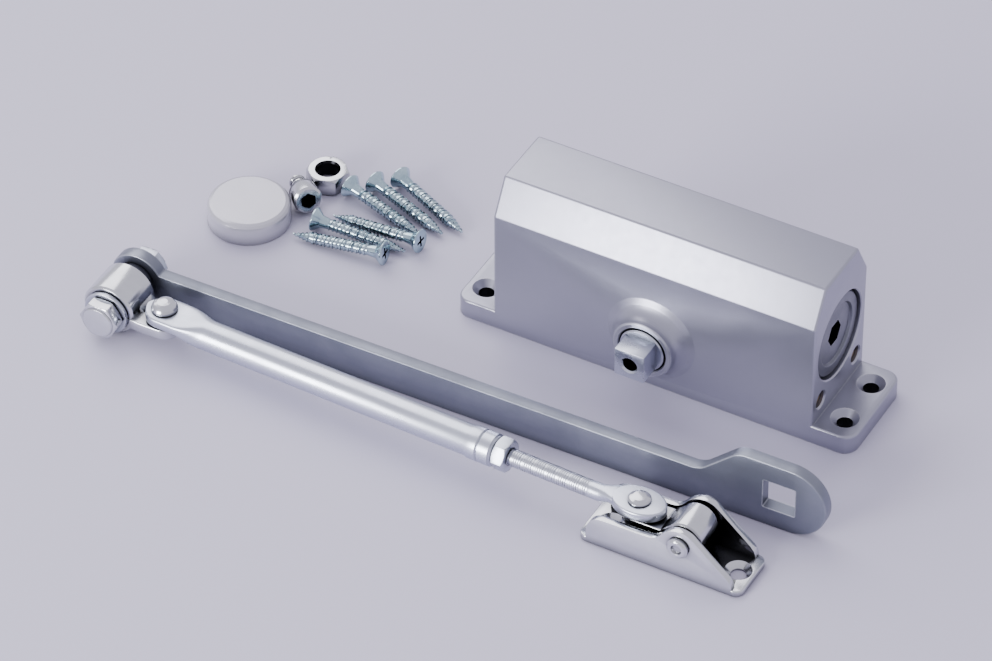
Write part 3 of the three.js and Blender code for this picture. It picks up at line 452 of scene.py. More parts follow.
def lofted(name, rings):
    # a skin through rings of the same number of points, closed at both ends
    def build(bm):
        loops = [[bm.verts.new(point) for point in ring] for ring in rings]
        for low, high in zip(loops, loops[1:]):
            for i in range(len(low)):
                j = (i + 1) % len(low)
                bm.faces.new((low[i], low[j], high[j], high[i]))
        bm.faces.new(loops[0])
        bm.faces.new(loops[-1][::-1])

    return meshFrom(name, build)


def pointObject(name):
    # a single point, for a node tree to build on
    mesh = bpy.data.meshes.new(name)
    mesh.from_pydata([(0, 0, 0)], [], [])
    return newObject(name, mesh)


def drill(name, radius, low, high, axis="z", centre=(0, 0, 0), steps=40):
    # a round cutter
    return turned(name, [(0, low), (radius, low), (radius, high), (0, high)], axis, centre, steps, 0)


def slab(name, x0, x1, y0, y1, z0, z1):
    return prism(name, [(x0, y0), (x1, y0), (x1, y1), (x0, y1)], z0, z1)


def settled(obj):
    # turns the live modifiers into plain mesh
    bpy.context.view_layer.update()
    shown = obj.evaluated_get(bpy.context.evaluated_depsgraph_get())
    mesh = bpy.data.meshes.new_from_object(shown)
    obj.modifiers.clear()
    old = obj.data
    obj.data = mesh
    bpy.data.meshes.remove(old)
    return obj


def combined(base, others, operation):
    for other in others:
        modifier = base.modifiers.new("shape", "BOOLEAN")
        modifier.operation = operation
        modifier.solver = "EXACT"
        modifier.object = other
    settled(base)
    for other in others:
        bpy.data.objects.remove(other)
    return base


def joined(base, *others):
    return combined(base, others, "UNION")


def carved(base, *others):
    return combined(base, others, "DIFFERENCE")


def shared(base, *others):
    return combined(base, others, "INTERSECT")


def eased(obj, width, steps=3, angle=40):
    # rounds every edge sharper than the angle
    modifier = obj.modifiers.new("ease", "BEVEL")
    modifier.width = width
    modifier.segments = steps
    modifier.limit_method = "ANGLE"
    modifier.angle_limit = math.radians(angle)
    modifier.use_clamp_overlap = False
    return settled(obj)


def merged(name, objects):
    # puts separate shells in one mesh
    bm = bmesh.new()
    for obj in objects:
        bm.from_mesh(obj.data)
        bpy.data.objects.remove(obj)
    mesh = bpy.data.meshes.new(name)
    bm.to_mesh(mesh)
    bm.free()
    return newObject(name, mesh)


def finishPiece(obj, finish, body, stands, place=None, smooth=32, shade=None):
    # millimetres to metres, into place, shaded, given its finish, and tied to its CAD body;
    # shade, where given, picks out by their middles the faces that get painted shade, near black
    if shade:
        marks = obj.data.attributes.new("shade", "FLOAT", "FACE")
        for face in obj.data.polygons:
            marks.data[face.index].value = float(shade(face.center))
    obj.data.transform(Matrix.Scale(0.001, 4) @ (place or Matrix.Identity(4)))
    obj.data.shade_smooth()
    obj.data.set_sharp_from_angle(angle=math.radians(smooth))
    obj.data.materials.clear()
    obj.data.materials.append(materials[finish])
    if stands:
        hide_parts(*stands)
    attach(obj, body)
    return obj


# geometry node trees for threads and laid-out screws
def startGeometryTree(name, inputs):
    tree = bpy.data.node_groups.new(name, "GeometryNodeTree")
    for label, kind, value in inputs:
        socket = tree.interface.new_socket(name=label, in_out="INPUT", socket_type=kind)
        if value is not None:
            socket.default_value = value
    tree.interface.new_socket(name="Geometry", in_out="OUTPUT", socket_type="NodeSocketGeometry")
    return tree, tree.nodes.new("NodeGroupInput"), tree.nodes.new("NodeGroupOutput")


def sweptSpiral(tree, turns, radii, height, wire, points):
    # a round wire along a spiral; points says how many there are to a turn and round the wire
    link = tree.links.new
    spiral = tree.nodes.new("GeometryNodeCurveSpiral")
    spiral.inputs["Resolution"].default_value = points[0]
    for label, value in (("Rotations", turns), ("Start Radius", radii[0]), ("End Radius", radii[1]),
                         ("Height", height)):
        link(value, spiral.inputs[label])
    section = tree.nodes.new("GeometryNodeCurvePrimitiveCircle")
    section.inputs["Resolution"].default_value = points[1]
    link(wire, section.inputs["Radius"])
    swept = tree.nodes.new("GeometryNodeCurveToMesh")
    swept.inputs["Fill Caps"].default_value = True
    link(spiral.outputs[0], swept.inputs["Curve"])
    link(section.outputs[0], swept.inputs["Profile Curve"])
    return swept.outputs[0]


def closeTree(tree, geometry, material, end):
    # every tree ends in real mesh with its material
    real = tree.nodes.new("GeometryNodeRealizeInstances")
    paint = tree.nodes.new("GeometryNodeSetMaterial")
    tree.links.new(geometry, real.inputs[0])
    tree.links.new(real.outputs[0], paint.inputs["Geometry"])
    tree.links.new(material, paint.inputs["Material"])
    tree.links.new(paint.outputs[0], end.inputs["Geometry"])
    return tree


def buildThreadTree():
    # one helical ridge on a round core, from its start along +Z, with a tapered point if asked
    tree, start, end = startGeometryTree("screwThread", [
        ("Length", "NodeSocketFloat", 10.0), ("Core Radius", "NodeSocketFloat", 2.0),
        ("Pitch", "NodeSocketFloat", 1.0), ("Ridge", "NodeSocketFloat", 0.3),
        ("End Radius", "NodeSocketFloat", 2.0), ("Material", "NodeSocketMaterial", None)])
    get = start.outputs
    turns = addMath(tree, "DIVIDE", get["Length"], get["Pitch"])
    radii = (get["Core Radius"], get["End Radius"])
    ridge = sweptSpiral(tree, turns, radii, get["Length"], get["Ridge"], (20, 4))
    core = tree.nodes.new("GeometryNodeMeshCone")
    core.inputs["Vertices"].default_value = 32
    for label, value in (("Radius Bottom", radii[0]), ("Radius Top", radii[1]), ("Depth", get["Length"])):
        tree.links.new(value, core.inputs[label])
    both = tree.nodes.new("GeometryNodeJoinGeometry")
    tree.links.new(ridge, both.inputs[0])
    tree.links.new(core.outputs["Mesh"], both.inputs[0])
    return closeTree(tree, both.outputs[0], get["Material"], end)


def buildCoilTree():
    # a round wire wound into an even coil along +Z
    tree, start, end = startGeometryTree("wireCoil", [
        ("Length", "NodeSocketFloat", 10.0), ("Coil Radius", "NodeSocketFloat", 5.0),
        ("Turns", "NodeSocketFloat", 5.0), ("Wire Radius", "NodeSocketFloat", 1.0),
        ("Material", "NodeSocketMaterial", None)])
    get = start.outputs
    radii = (get["Coil Radius"], get["Coil Radius"])
    wire = sweptSpiral(tree, get["Turns"], radii, get["Length"], get["Wire Radius"], (48, 20))
    return closeTree(tree, wire, get["Material"], end)


def buildLayoutTree():
    # one copy of a piece on each point, turned by the point's own angles
    tree, start, end = startGeometryTree("layOut", [
        ("Geometry", "NodeSocketGeometry", None), ("Piece", "NodeSocketObject", None),
        ("Material", "NodeSocketMaterial", None)])
    link = tree.links.new
    info = tree.nodes.new("GeometryNodeObjectInfo")
    link(start.outputs["Piece"], info.inputs["Object"])
    angles = tree.nodes.new("GeometryNodeInputNamedAttribute")
    angles.data_type = "FLOAT_VECTOR"
    angles.inputs["Name"].default_value = "turn"
    rotation = tree.nodes.new("FunctionNodeEulerToRotation")
    link(angles.outputs["Attribute"], rotation.inputs[0])
    copies = tree.nodes.new("GeometryNodeInstanceOnPoints")
    link(start.outputs["Geometry"], copies.inputs["Points"])
    link(info.outputs["Geometry"], copies.inputs["Instance"])
    link(rotation.outputs[0], copies.inputs["Rotation"])
    return closeTree(tree, copies.outputs[0], start.outputs["Material"], end)


threadTree = buildThreadTree()
coilTree = buildCoilTree()
layoutTree = buildLayoutTree()


def runTree(obj, tree, **values):
    modifier = obj.modifiers.new("nodes", "NODES")
    modifier.node_group = tree
    ids = {item.name: item.identifier for item in tree.interface.items_tree
           if item.item_type == "SOCKET" and item.in_out == "INPUT"}
    for key, value in values.items():
        modifier[ids[key.replace("_", " ")]] = value
    return settled(obj)


def thread(name, length, core, pitch, ridge, finish, end=None, start=0.0):
    obj = pointObject(name)
    runTree(obj, threadTree, Length=float(length), Core_Radius=float(core), Pitch=float(pitch),
            Ridge=float(ridge), End_Radius=float(core if end is None else end),
            Material=materials[finish])
    obj.data.transform(Matrix.Translation((0, 0, start)))
    return obj


# frames of the folded arm, in millimetres
armFrame = {"elbow": (-168, -63.5, 9.4), "yaw": 0.9, "rivet": (18.5, -13, 0), "footPin": (50, -85, 13),
            "footReach": 19}
mainPlace = Matrix.Translation(armFrame["elbow"]) @ Matrix.Rotation(math.radians(armFrame["yaw"]), 4, "Z")
elbowRivet = mainPlace @ Vector(armFrame["rivet"])
footPin = Vector(armFrame["footPin"])
footRivet = footPin - Vector((armFrame["footReach"], 0, 0))
forearmLine = footRivet - elbowRivet
forearmYaw = math.atan2(forearmLine.y, forearmLine.x)
forearmPitch = math.atan2(forearmLine.z, math.hypot(forearmLine.x, forearmLine.y))
forearmTurn = Euler((0, -forearmPitch, forearmYaw), "XYZ").to_matrix().to_4x4()
forearmPlace = Matrix.Translation(elbowRivet) @ forearmTurn
footPlace = Matrix.Translation(footPin)


# closer body
bodySizes = {"length": 117, "depth": 37, "height": 60, "chamferY": 7, "chamferZ": 12.5, "edge": 1.3,
             "flangeLength": 146, "flange": 7, "flangeCorner": 5, "boreZ": 32, "seat": 15.5,
             "seatDepth": 7, "spindleZ": 20, "bossBase": 15.5, "bossHeight": 7,
             "valveY": 12.5, "valveZ": 14, "valveBore": 3, "holeX": 66, "holeY": 9.5, "hole": 2.7,
             "sink": 4.8}


def makeHousing(s):
    half, high = s["depth"] / 2, s["height"]
    section = [(-half, 0), (half, 0), (half, high - s["chamferZ"]), (half - s["chamferY"], high),
               (-half + s["chamferY"], high), (-half, high - s["chamferZ"])]
    section = filleted(section, s["edge"], 5, only=(2, 3, 4, 5))
    long = s["length"] / 2
    body = eased(prism("housingPiece", section, -long, long, "yz"), 1.0, 3)
    rings = []
    for inset, z in ((0, 0), (0, s["flange"] - 0.9), (0.07, s["flange"] - 0.55), (0.27, s["flange"] - 0.26),
                     (0.55, s["flange"] - 0.07), (0.9, s["flange"])):
        x, y = s["flangeLength"] / 2 - inset, half - inset
        corners = filleted([(-x, -y), (x, -y), (x, y), (-x, y)], s["flangeCorner"] - inset, 8)
        rings.append([(u, v, z) for u, v in corners])
    flange = lofted("flange", rings)
    bossFace = -half - s["bossHeight"]
    # the boss flares out from its face to its foot
    flare = [(s["bossBase"] - 0.9 - 3.9 * math.sin(math.pi / 2 * t),
              half + 0.9 + (s["bossHeight"] - 1.3) * t ** 1.25)
             for t in (i / 10 for i in range(11))]
    boss = turned("boss",
                  [(0, half - 3), (s["bossBase"] + 1.2, half - 3), (s["bossBase"] + 1.2, half - 0.2),
                           (s["bossBase"] + 0.3, half + 0.15)] + flare
                  + [(s["bossBase"] - 5.3, half + s["bossHeight"]), (0, half + s["bossHeight"])],
                  steps=96, soft=0.15)
    boss.data.transform(Matrix.Translation((0, 0, s["spindleZ"])) @ Matrix.Rotation(math.pi / 2, 4, "X"))
    body = joined(body, flange, boss)
    seatFrom = long - s["seatDepth"]
    mainBore = [(0, -long - 0.6), (s["seat"] + 1, -long - 0.6), (s["seat"], -long + 0.4),
                (s["seat"], -seatFrom),
                (14, -seatFrom), (14, seatFrom), (s["seat"], seatFrom), (s["seat"], long - 0.4),
                (s["seat"] + 1, long + 0.6), (0, long + 0.6)]
    crossBore = [(0, bossFace - 0.6), (9.6, bossFace - 0.6), (8.6, bossFace + 0.4), (8.6, bossFace + 1),
                 (10.3, bossFace + 1), (10.3, 14), (12.1, 14), (12.1, half - 0.4), (13.1, half + 0.6),
                 (0, half + 0.6)]
    cutters = [turned("mainBore", mainBore, "x", (0, 0, s["boreZ"]), 96, 0),
               turned("crossBore", crossBore, "y", (0, 0, s["spindleZ"]), 96, 0)]
    for side in (-1, 1):
        cutters.append(turned("valveBore", [(0, long - 12), (s["valveBore"], long - 12),
                                            (s["valveBore"], long - 0.5),
                                            (s["valveBore"] + 0.8, long + 0.3),
                                            (0, long + 0.3)], "x", (0, side * s["valveY"], s["valveZ"]), 40,
                              0))
        for end in (-1, 1):
            cutters.append(turned("screwHole", [(0, -1), (s["hole"], -1), (s["hole"], s["flange"] - 2.1),
                                                (s["sink"], s["flange"] + 0.01), (0, s["flange"] + 0.01)],
                                  "z",
                                  (end * s["holeX"], side * s["holeY"], 0), 40, 0))
    return carved(body, *cutters)


# painted shade inside the flange's screw holes
def inScrewHole(at):
    s = bodySizes
    away = math.hypot(abs(at.x) - s["holeX"], abs(at.y) - s["holeY"])
    return 0.1 < at.z < s["flange"] - 1.6 and away < s["hole"] + 0.2


finishPiece(makeHousing(bodySizes), "silverPaint", "closer_body", ["housing"],
            shade=inScrewHole)
print("housing made")

plugSizes = {"radius": 15.2, "inner": 51.8, "outer": 57.3, "socket": 8, "face": 10.6}


def makeEndPlug(name, side, s):
    profile = [(0, s["inner"]), (s["radius"] - 0.5, s["inner"]), (s["radius"], s["inner"] + 0.5),
               (s["radius"], s["inner"] + 0.8), (13.4, s["inner"] + 0.8), (13.4, s["inner"] + 3),
               (s["radius"], s["inner"] + 3), (s["radius"], s["outer"] - 0.8),
               (s["radius"] - 0.8, s["outer"]),
               (s["face"] + 0.6, s["outer"]), (s["face"], s["outer"] - 0.9), (0, s["outer"] - 0.9)]
    plug = turned(name, profile, "x", steps=96, soft=0.12)
    socket = circlePoints(s["socket"] / math.sqrt(3), 6)
    plug = carved(plug, prism("socket", socket, s["outer"] - 4, s["outer"] + 1, "yz"))
    place = Matrix.Translation((0, 0, bodySizes["boreZ"]))
    return plug, place @ (Matrix.Rotation(math.pi, 4, "Z") if side < 0 else Matrix.Identity(4))


for label, side in (("right", 1), ("left", -1)):
    plug, place = makeEndPlug("endPlugPiece_" + label, side, plugSizes)
    # painted shade in the plug's hex socket
    finishPiece(plug, "machinedSteel", "closer_body", ["end_plug_" + label], place,
                shade=lambda at: math.hypot(at.y, at.z) < 4.7 and at.x < plugSizes["outer"] - 1.1)

valveSizes = {"inner": 47.3, "outer": 57.0, "radius": 2.7, "slot": 0.9, "slotDepth": 1.1}


def makeValveScrew(name, side, s):
    a, b, r = s["inner"], s["outer"], s["radius"]
    profile = [(0, a), (1, a + 3.2), (1, a + 3.6), (r, a + 3.9), (r, a + 4.8), (1.6, a + 4.8),
               (1.6, a + 6.2),
               (r, a + 6.2), (r, b - 0.3), (r - 0.3, b), (0, b)]
    screw = turned(name, profile, "x", steps=48, soft=0.08)
    screw = carved(screw, slab("slot", b - s["slotDepth"], b + 1, -4, 4, -s["slot"] / 2, s["slot"] / 2))
    return screw, Matrix.Translation((0, side * bodySizes["valveY"], bodySizes["valveZ"]))


for label, side in (("closing", -1), ("latching", 1)):
    screw, place = makeValveScrew("valveScrewPiece_" + label, side, valveSizes)
    finishPiece(screw, "bronze", label + "_valve", ["valve_screw_" + label], place)

spindleSizes = {"square": 10.8, "journal": 8, "front": -34, "frontShoulder": -25.8, "rearShoulder": 21.2,
                "rear": 24.6, "gearHalf": 9.5, "hole": 2.6, "holeDepth": 13, "module": 1.3, "teeth": 10,
                "pressure": 25, "backlash": 0.24}


def gearOutline(s):
    pitch = s["module"] * s["teeth"] / 2
    angle = math.radians(s["pressure"])
    base = pitch * math.cos(angle)

    def involute(r):
        a = math.acos(min(1, base / r))
        return math.tan(a) - a

    def flank(r):
        half = math.pi / (2 * s["teeth"]) - s["backlash"] / (2 * pitch)
        return half + involute(pitch) - involute(max(r, base))

    tip, root = pitch + 0.8 * s["module"], pitch - 1.1 * s["module"]
    radii = [root + (tip - root) * i / 6 for i in range(7)]
    points = []
    for tooth in range(s["teeth"]):
        middle = math.pi / 2 + 2 * math.pi * tooth / s["teeth"]
        for r in radii:
            points.append((r * math.cos(middle - flank(r)), r * math.sin(middle - flank(r))))
        for r in reversed(radii):
            points.append((r * math.cos(middle + flank(r)), r * math.sin(middle + flank(r))))
    return points


def makeSpindle(s):
    gear = prism("spindlePiece", gearOutline(s), -s["gearHalf"], s["gearHalf"], "xz")
    front = turned("journalFront", [(0, s["frontShoulder"]), (s["journal"] - 0.4, s["frontShoulder"]),
                                    (s["journal"], s["frontShoulder"] + 0.4),
                                    (s["journal"], -s["gearHalf"] + 0.3),
                                    (0, -s["gearHalf"] + 0.3)], "y", steps=64, soft=0)
    rear = turned("journalRear", [(0, s["gearHalf"] - 0.3), (s["journal"], s["gearHalf"] - 0.3),
                                  (s["journal"], s["rearShoulder"] - 0.4),
                                  (s["journal"] - 0.4, s["rearShoulder"]),
                                  (0, s["rearShoulder"])], "y", steps=64, soft=0)
    half = s["square"] / 2
    frontSquare = eased(slab("squareFront", -half, half, s["front"], s["frontShoulder"] + 1, -half, half),
                        0.35, 2)
    rearSquare = eased(slab("squareRear", -half, half, s["rearShoulder"] - 1, s["rear"], -half, half), 0.35,
                       2)
    shaft = joined(gear, front, rear, frontSquare, rearSquare)
    hole = turned("tapped",
                  [(0, s["front"] - 1), (s["hole"] + 1.2, s["front"] - 1), (s["hole"], s["front"] + 0.7),
                             (s["hole"], s["front"] + s["holeDepth"]),
                   (0, s["front"] + s["holeDepth"] + 1)],
                  "y", steps=40, soft=0)
    return carved(shaft, hole)


# painted shade in the spindle's tapped hole
finishPiece(makeSpindle(spindleSizes), "brightSteel", "spindle", ["pinion_shaft"],
            Matrix.Translation((0, 0, bodySizes["spindleZ"])),
            shade=lambda at: math.hypot(at.x, at.z) < 2.7 and -33.4 < at.y < -20)

glandSizes = {"thread": 11.8, "flange": 12.4, "face": 18.5, "inner": 14.3, "bore": 10.3, "mouth": 8.6}


def makeGlandNut(s):
    f = s["face"]
    profile = [(s["bore"], s["inner"]), (s["thread"], s["inner"]), (s["thread"], f + 0.3),
               (s["flange"], f + 0.3),
               (s["flange"], f + 2), (s["flange"] - 0.5, f + 2.4), (s["mouth"], f + 2.4),
               (s["mouth"], f + 1.2),
               (s["bore"], f + 1.2)]
    nut = turned("glandNutPiece", profile, "y", steps=96, soft=0.12)
    holes = [drill("spanner", 1.1, f + 1, f + 4, "y", (x, 0, 0), 20)
             for x in (-10.4, 10.4)]
    return carved(nut, *holes)


finishPiece(makeGlandNut(glandSizes), "silverPaint", "closer_body", ["gland_nut"],
            Matrix.Translation((0, 0, bodySizes["spindleZ"])))

# the closing spring: an even coil as long as the CAD spring
springSizes = {"coil": 9.6, "wire": 1.6, "turns": 5, "travel": 18.8}


def makeSpring(s):
    low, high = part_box("closing_spring")
    long = (high[0] - low[0]) * 1000
    spring = pointObject("closingSpringPiece")
    runTree(spring, coilTree, Length=long - 2 * s["wire"], Coil_Radius=s["coil"], Turns=float(s["turns"]),
            Wire_Radius=s["wire"], Material=materials["springSteel"])
    place = Matrix.Translation((low[0] * 1000 + s["wire"], 0, bodySizes["boreZ"])) @ axisTurns["x"]
    finishPiece(spring, "springSteel", "closer_body", ["closing_spring"], place)
    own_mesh(spring)


makeSpring(springSizes)
print("plugs, valves, spindle, gland and spring made")


# main arm
armSizes = {"thickness": 4.5, "length": 235.5, "eye": 9.4, "width": 13.5, "paddleHalf": 13, "end": 16.5,
            "square": 11.4, "boltHole": 4.3, "edge": 0.45}


def curvePoints(a, b, c, steps=8):
    a, b, c = Vector(a), Vector(b), Vector(c)
    return [tuple(a * (1 - t) ** 2 + b * 2 * t * (1 - t) + c * t * t)
            for t in (i / steps for i in range(steps + 1))]


def makeMainArm(s):
    base, top = -s["eye"], -s["eye"] + s["width"]
    mid = base + s["paddleHalf"]
    endX = s["length"] + s["end"] - s["paddleHalf"]
    lift = math.asin(top / s["eye"])
    outline = arcPoints((0, 0), s["eye"], lift, 1.5 * math.pi, 28)
    outline += arcPoints((endX, mid), s["paddleHalf"], -math.pi / 2, math.pi / 2, 28)
    shoulder = s["length"] - 14
    high = mid + s["paddleHalf"]
    outline += curvePoints((shoulder + 3, high), (shoulder - 1, high), (shoulder - 3.5, mid + 10.5))
    outline += curvePoints((shoulder - 12.5, top + 1.6), (shoulder - 14.7, top), (shoulder - 17.5, top))
    arm = eased(prism("mainArmPiece", outline, 0, s["thickness"], "xz"), s["edge"], 3, 50)
    half = s["square"] / 2
    square = [(s["length"] - half, mid - half), (s["length"] + half, mid - half),
              (s["length"] + half, mid + half), (s["length"] - half, mid + half)]
    hole = prism("square", filleted(square, 0.5, 3), -1, s["thickness"] + 1, "xz")
    eye = drill("eyeHole", s["boltHole"], -1, 6, "y", steps=48)
    return carved(arm, hole, eye)


finishPiece(makeMainArm(armSizes), "darkZinc", "main_arm_set", ["main_arm"], mainPlace)

elbowSizes = {"bolt": 4, "headRadius": 7.2, "standoff": 4, "knuckle": 14.5, "barrel": 9.4, "bush": 5.9,
              "tongueHalf": 6.2, "nutRadius": 6.6, "nutNear": 4.8, "nutFar": 9.5, "nutBore": 4.15}


def hexBlank(name, radius, low, high, axis, chamfer=0.8, phase=0.0):
    plane = {"x": "yz", "y": "xz", "z": "xy"}[axis]
    blank = prism(name, circlePoints(radius, 6, phase=phase), low, high, plane)
    flat = radius * math.cos(math.pi / 6)
    cone = turned("cone",
                  [(0, low), (flat, low), (radius, low + chamfer * 0.6), (radius, high - chamfer * 0.6),
                           (flat, high), (0, high)], axis, steps=72, soft=0)
    return eased(shared(blank, cone), 0.12, 2, 28)


def makeElbowBolt(s):
    head = -s["standoff"] - s["knuckle"] - 2.1
    bolt = hexBlank("elbowBoltPiece", s["headRadius"], head - 4.4, head, "y")
    shank = turned("shank",
                   [(0, head - 5), (5.2, head - 5), (5.6, head - 4.5), (5.6, head - 4),
                    (s["bolt"], head - 3.9),
                             (s["bolt"], 10), (s["bolt"] - 0.6, 10.7), (0, 10.7)], "y", steps=48, soft=0.1)
    return joined(bolt, shank)


def makeRing(name, inner, outer, low, high, axis="y", centre=(0, 0, 0), soft=0.2):
    return turned(name, [(inner, low), (outer, low), (outer, high), (inner, high)], axis, centre, 64, soft)


knuckleRear = -elbowSizes["standoff"]
knuckleFront = knuckleRear - elbowSizes["knuckle"]
finishPiece(makeElbowBolt(elbowSizes), "chromePlate", "main_arm_set", ["elbow_bolt"],
            mainPlace)
finishPiece(makeRing("elbowWasherPiece", 4.3, 7.8, knuckleFront - 1.8, knuckleFront - 0.3), "brightSteel",
            "main_arm_set", ["elbow_washer"], mainPlace)
finishPiece(makeRing("elbowSpacerPiece", 4.3, 6.4, knuckleRear + 0.3, -0.3), "machinedSteel",
            "main_arm_set", ["elbow_spacer"], mainPlace)
elbowNut = hexBlank("elbowNutPiece", elbowSizes["nutRadius"], elbowSizes["nutNear"], elbowSizes["nutFar"],
                    "y")
elbowNut = carved(elbowNut, drill("nutBore", elbowSizes["nutBore"], 0, 12, "y"))
finishPiece(elbowNut, "brightSteel", "main_arm_set", ["elbow_nut"], mainPlace)


def makeKnuckle(s):
    barrel = turned("knucklePiece", [(0, knuckleFront), (s["barrel"] - 0.7, knuckleFront),
                                     (s["barrel"], knuckleFront + 0.7), (s["barrel"], knuckleRear - 0.7),
                                     (s["barrel"] - 0.7, knuckleRear), (0, knuckleRear)], "y", steps=96,
                    soft=0.2)
    rx, ry = armFrame["rivet"][:2]
    half = s["tongueHalf"]
    outline = [(3, ry - half + 0.7), (rx - 6, ry - half)] + arcPoints((rx, ry), half, -math.pi / 2,
                                                                      math.pi / 2, 24)
    outline += [(rx - 6, ry + half + 0.8), (3, ry + half + 1.5)]
    tongue = eased(prism("tongue", outline, -4.2, -0.2), 0.5, 3)
    web = eased(prism("web", [(4, -7), (11.2, -4.2), (11.2, -0.2), (4, 6.5)], knuckleFront + 4.5,
                      knuckleRear - 1.5, "xz"), 0.8, 3)
    body = joined(barrel, tongue, web)
    bore = drill("knuckleBore", s["bush"], knuckleFront - 1, knuckleRear + 1, "y", steps=64)
    hole = drill("rivetHole", 3.1, -6, 1, centre=(rx, ry, 0))
    return carved(body, bore, hole)


finishPiece(makeKnuckle(elbowSizes), "chromePlate", "knuckle", ["elbow_knuckle"], mainPlace)
finishPiece(makeRing("elbowBushPiece", 4.15, 5.6, knuckleFront + 0.3, knuckleRear - 0.3), "bronze",
            "knuckle", ["elbow_bush"], mainPlace)
print("main arm and elbow made")


# forearm
tubeSizes = {"radius": 5.2, "end": 128, "bore": 3.25, "boreStart": 44, "flatLow": 0.1, "flatHigh": 4.1,
             "flatHalf": 6.4, "collar": 5.6, "collarStart": 119, "collarEnd": 127}


def superOval(halfWide, halfHigh, power, steps):
    points = []
    for i in range(steps):
        a = 2 * math.pi * i / steps
        c, s = math.cos(a), math.sin(a)
        points.append((halfWide * math.copysign(abs(c) ** (2 / power), c),
                       halfHigh * math.copysign(abs(s) ** (2 / power), s)))
    return points


def ovalLoft(name, sections, steps):
    # a skin through ovals along X: place, half width, half height, middle and squareness of each
    return lofted(name, [[(x, y, middle + z) for y, z in superOval(wide, high, power, steps)]
                         for x, wide, high, middle, power in sections])


def makeForearmTube(s):
    # from the flattened end to the round tube
    flatMid = (s["flatLow"] + s["flatHigh"]) / 2
    flatHigh = (s["flatHigh"] - s["flatLow"]) / 2
    r = s["radius"]
    sections = []
    for i in range(13):
        a = math.pi / 2 * i / 12
        sections.append((-s["flatHalf"] * math.cos(a), max(0.02, s["flatHalf"] * math.sin(a)), flatHigh,
                         flatMid, 5))
    for i in range(1, 15):
        t = i / 14
        ease = t * t * (3 - 2 * t)
        sections.append((6 + 12 * t, s["flatHalf"] + (r - s["flatHalf"]) * ease,
                         flatHigh + (r - flatHigh) * ease, flatMid * (1 - ease), 5 - 3 * ease))
    for place, radius in ((60, r), (s["collarStart"] - 1.2, r), (s["collarStart"], s["collar"]),
                          (s["collarStart"] + 3.2, s["collar"]),
                          (s["collarStart"] + 3.7, s["collar"] - 0.35),
                          (s["collarStart"] + 4.2, s["collar"]), (s["collarEnd"], s["collar"]),
                          (s["collarEnd"] + 0.4, s["collar"] - 0.5), (s["end"] - 0.3, s["collar"] - 0.6),
                          (s["end"], s["collar"] - 0.9)):
        sections.append((place, radius, radius, 0, 2))

    tube = ovalLoft("forearmTubePiece", sections, 56)
    bore = drill("bore", s["bore"], s["boreStart"], s["end"] + 1, "x", steps=48)
    hole = drill("rivetHole", 3.1, -1, 6)
    return carved(tube, bore, hole)


finishPiece(makeForearmTube(tubeSizes), "brightSteel", "forearm", ["forearm_tube"],
            forearmPlace)

rivetProfile = [(0, -5.9), (3.4, -5.9), (4.1, -5.3), (4.1, -4.5), (2.8, -4.5), (2.8, 4.4), (4.5, 4.4),
                (4.4, 5.2),
                (4.0, 6.0), (3.3, 6.7), (2.3, 7.2), (1.2, 7.45), (0, 7.5)]
finishPiece(turned("elbowRivetPiece", rivetProfile, steps=64, soft=0.15), "chromePlate", "forearm",
            ["elbow_rivet"], forearmPlace)

rodSizes = {"radius": 3, "start": 64, "pitch": 0.8, "ridge": 0.2, "eyeLong": 9.5, "eyeWide": 6.6,
            "low": 0.2,
            "high": 3.6, "hole": 2.8}
reach = forearmLine.length


def makeRod(s):
    threadEnd = reach - 17
    core = s["radius"] - s["ridge"] - 0.02
    cut = thread("rodThread", threadEnd - s["start"] - 1, core, s["pitch"], s["ridge"], "brightSteel")
    cut.data.transform(Matrix.Translation((s["start"], 0, 0)) @ Matrix.Rotation(math.pi / 2, 4, "Y"))
    # plain neck that flattens into the oval eye
    sections = [(threadEnd - 1.2, 2.7, 2.7, 0, 2), (threadEnd, 2.95, 2.95, 0, 2),
                (reach - 14, 2.9, 2.9, 0.1, 2),
                (reach - 11.5, 3.1, 2.5, 0.9, 2.6), (reach - 9.4, 3.6, 1.75, 1.8, 3.4),
                (reach - 6.5, 4.3, 1.65, 1.9, 4)]
    neck = ovalLoft("rodNeck", sections, 40)
    oval = [(reach + s["eyeLong"] * math.cos(a), s["eyeWide"] * math.sin(a))
            for a in (2 * math.pi * i / 64 for i in range(64))]
    eye = eased(prism("rodEye", oval, s["low"], s["high"]), 0.7, 4)
    eye = joined(eye, neck)
    under = slab("under", reach - 10, reach + 12, -8, 8, -6, s["low"])
    hole = drill("rivetHole", s["hole"], -4, 6, centre=(reach, 0, 0))
    eye = carved(eye, under, hole)
    return merged("threadedRodPiece", [cut, eye])


finishPiece(makeRod(rodSizes), "brightSteel", "rod", ["threaded_rod"], forearmPlace)

lockNutSizes = {"radius": 5.8, "near": 0.3, "far": 4.9, "chamfer": 0.9, "bore": 3.15}
lockNut = hexBlank("lockNutPiece", lockNutSizes["radius"], tubeSizes["end"] + lockNutSizes["near"],
                   tubeSizes["end"] + lockNutSizes["far"], "x", lockNutSizes["chamfer"])
lockNut = carved(lockNut, drill("nutBore", lockNutSizes["bore"], 120, 140, "x"))
finishPiece(lockNut, "brightSteel", "lock_nut_body", ["lock_nut"], forearmPlace)
print("forearm made")


# foot
footSizes = {"width": 19.4, "left": -36, "right": 22, "sheet": 2.4, "corner": 3, "holes": (-29, 16.5),
             "reach": armFrame["footReach"], "bend": 1.8, "pinHole": 2.65}


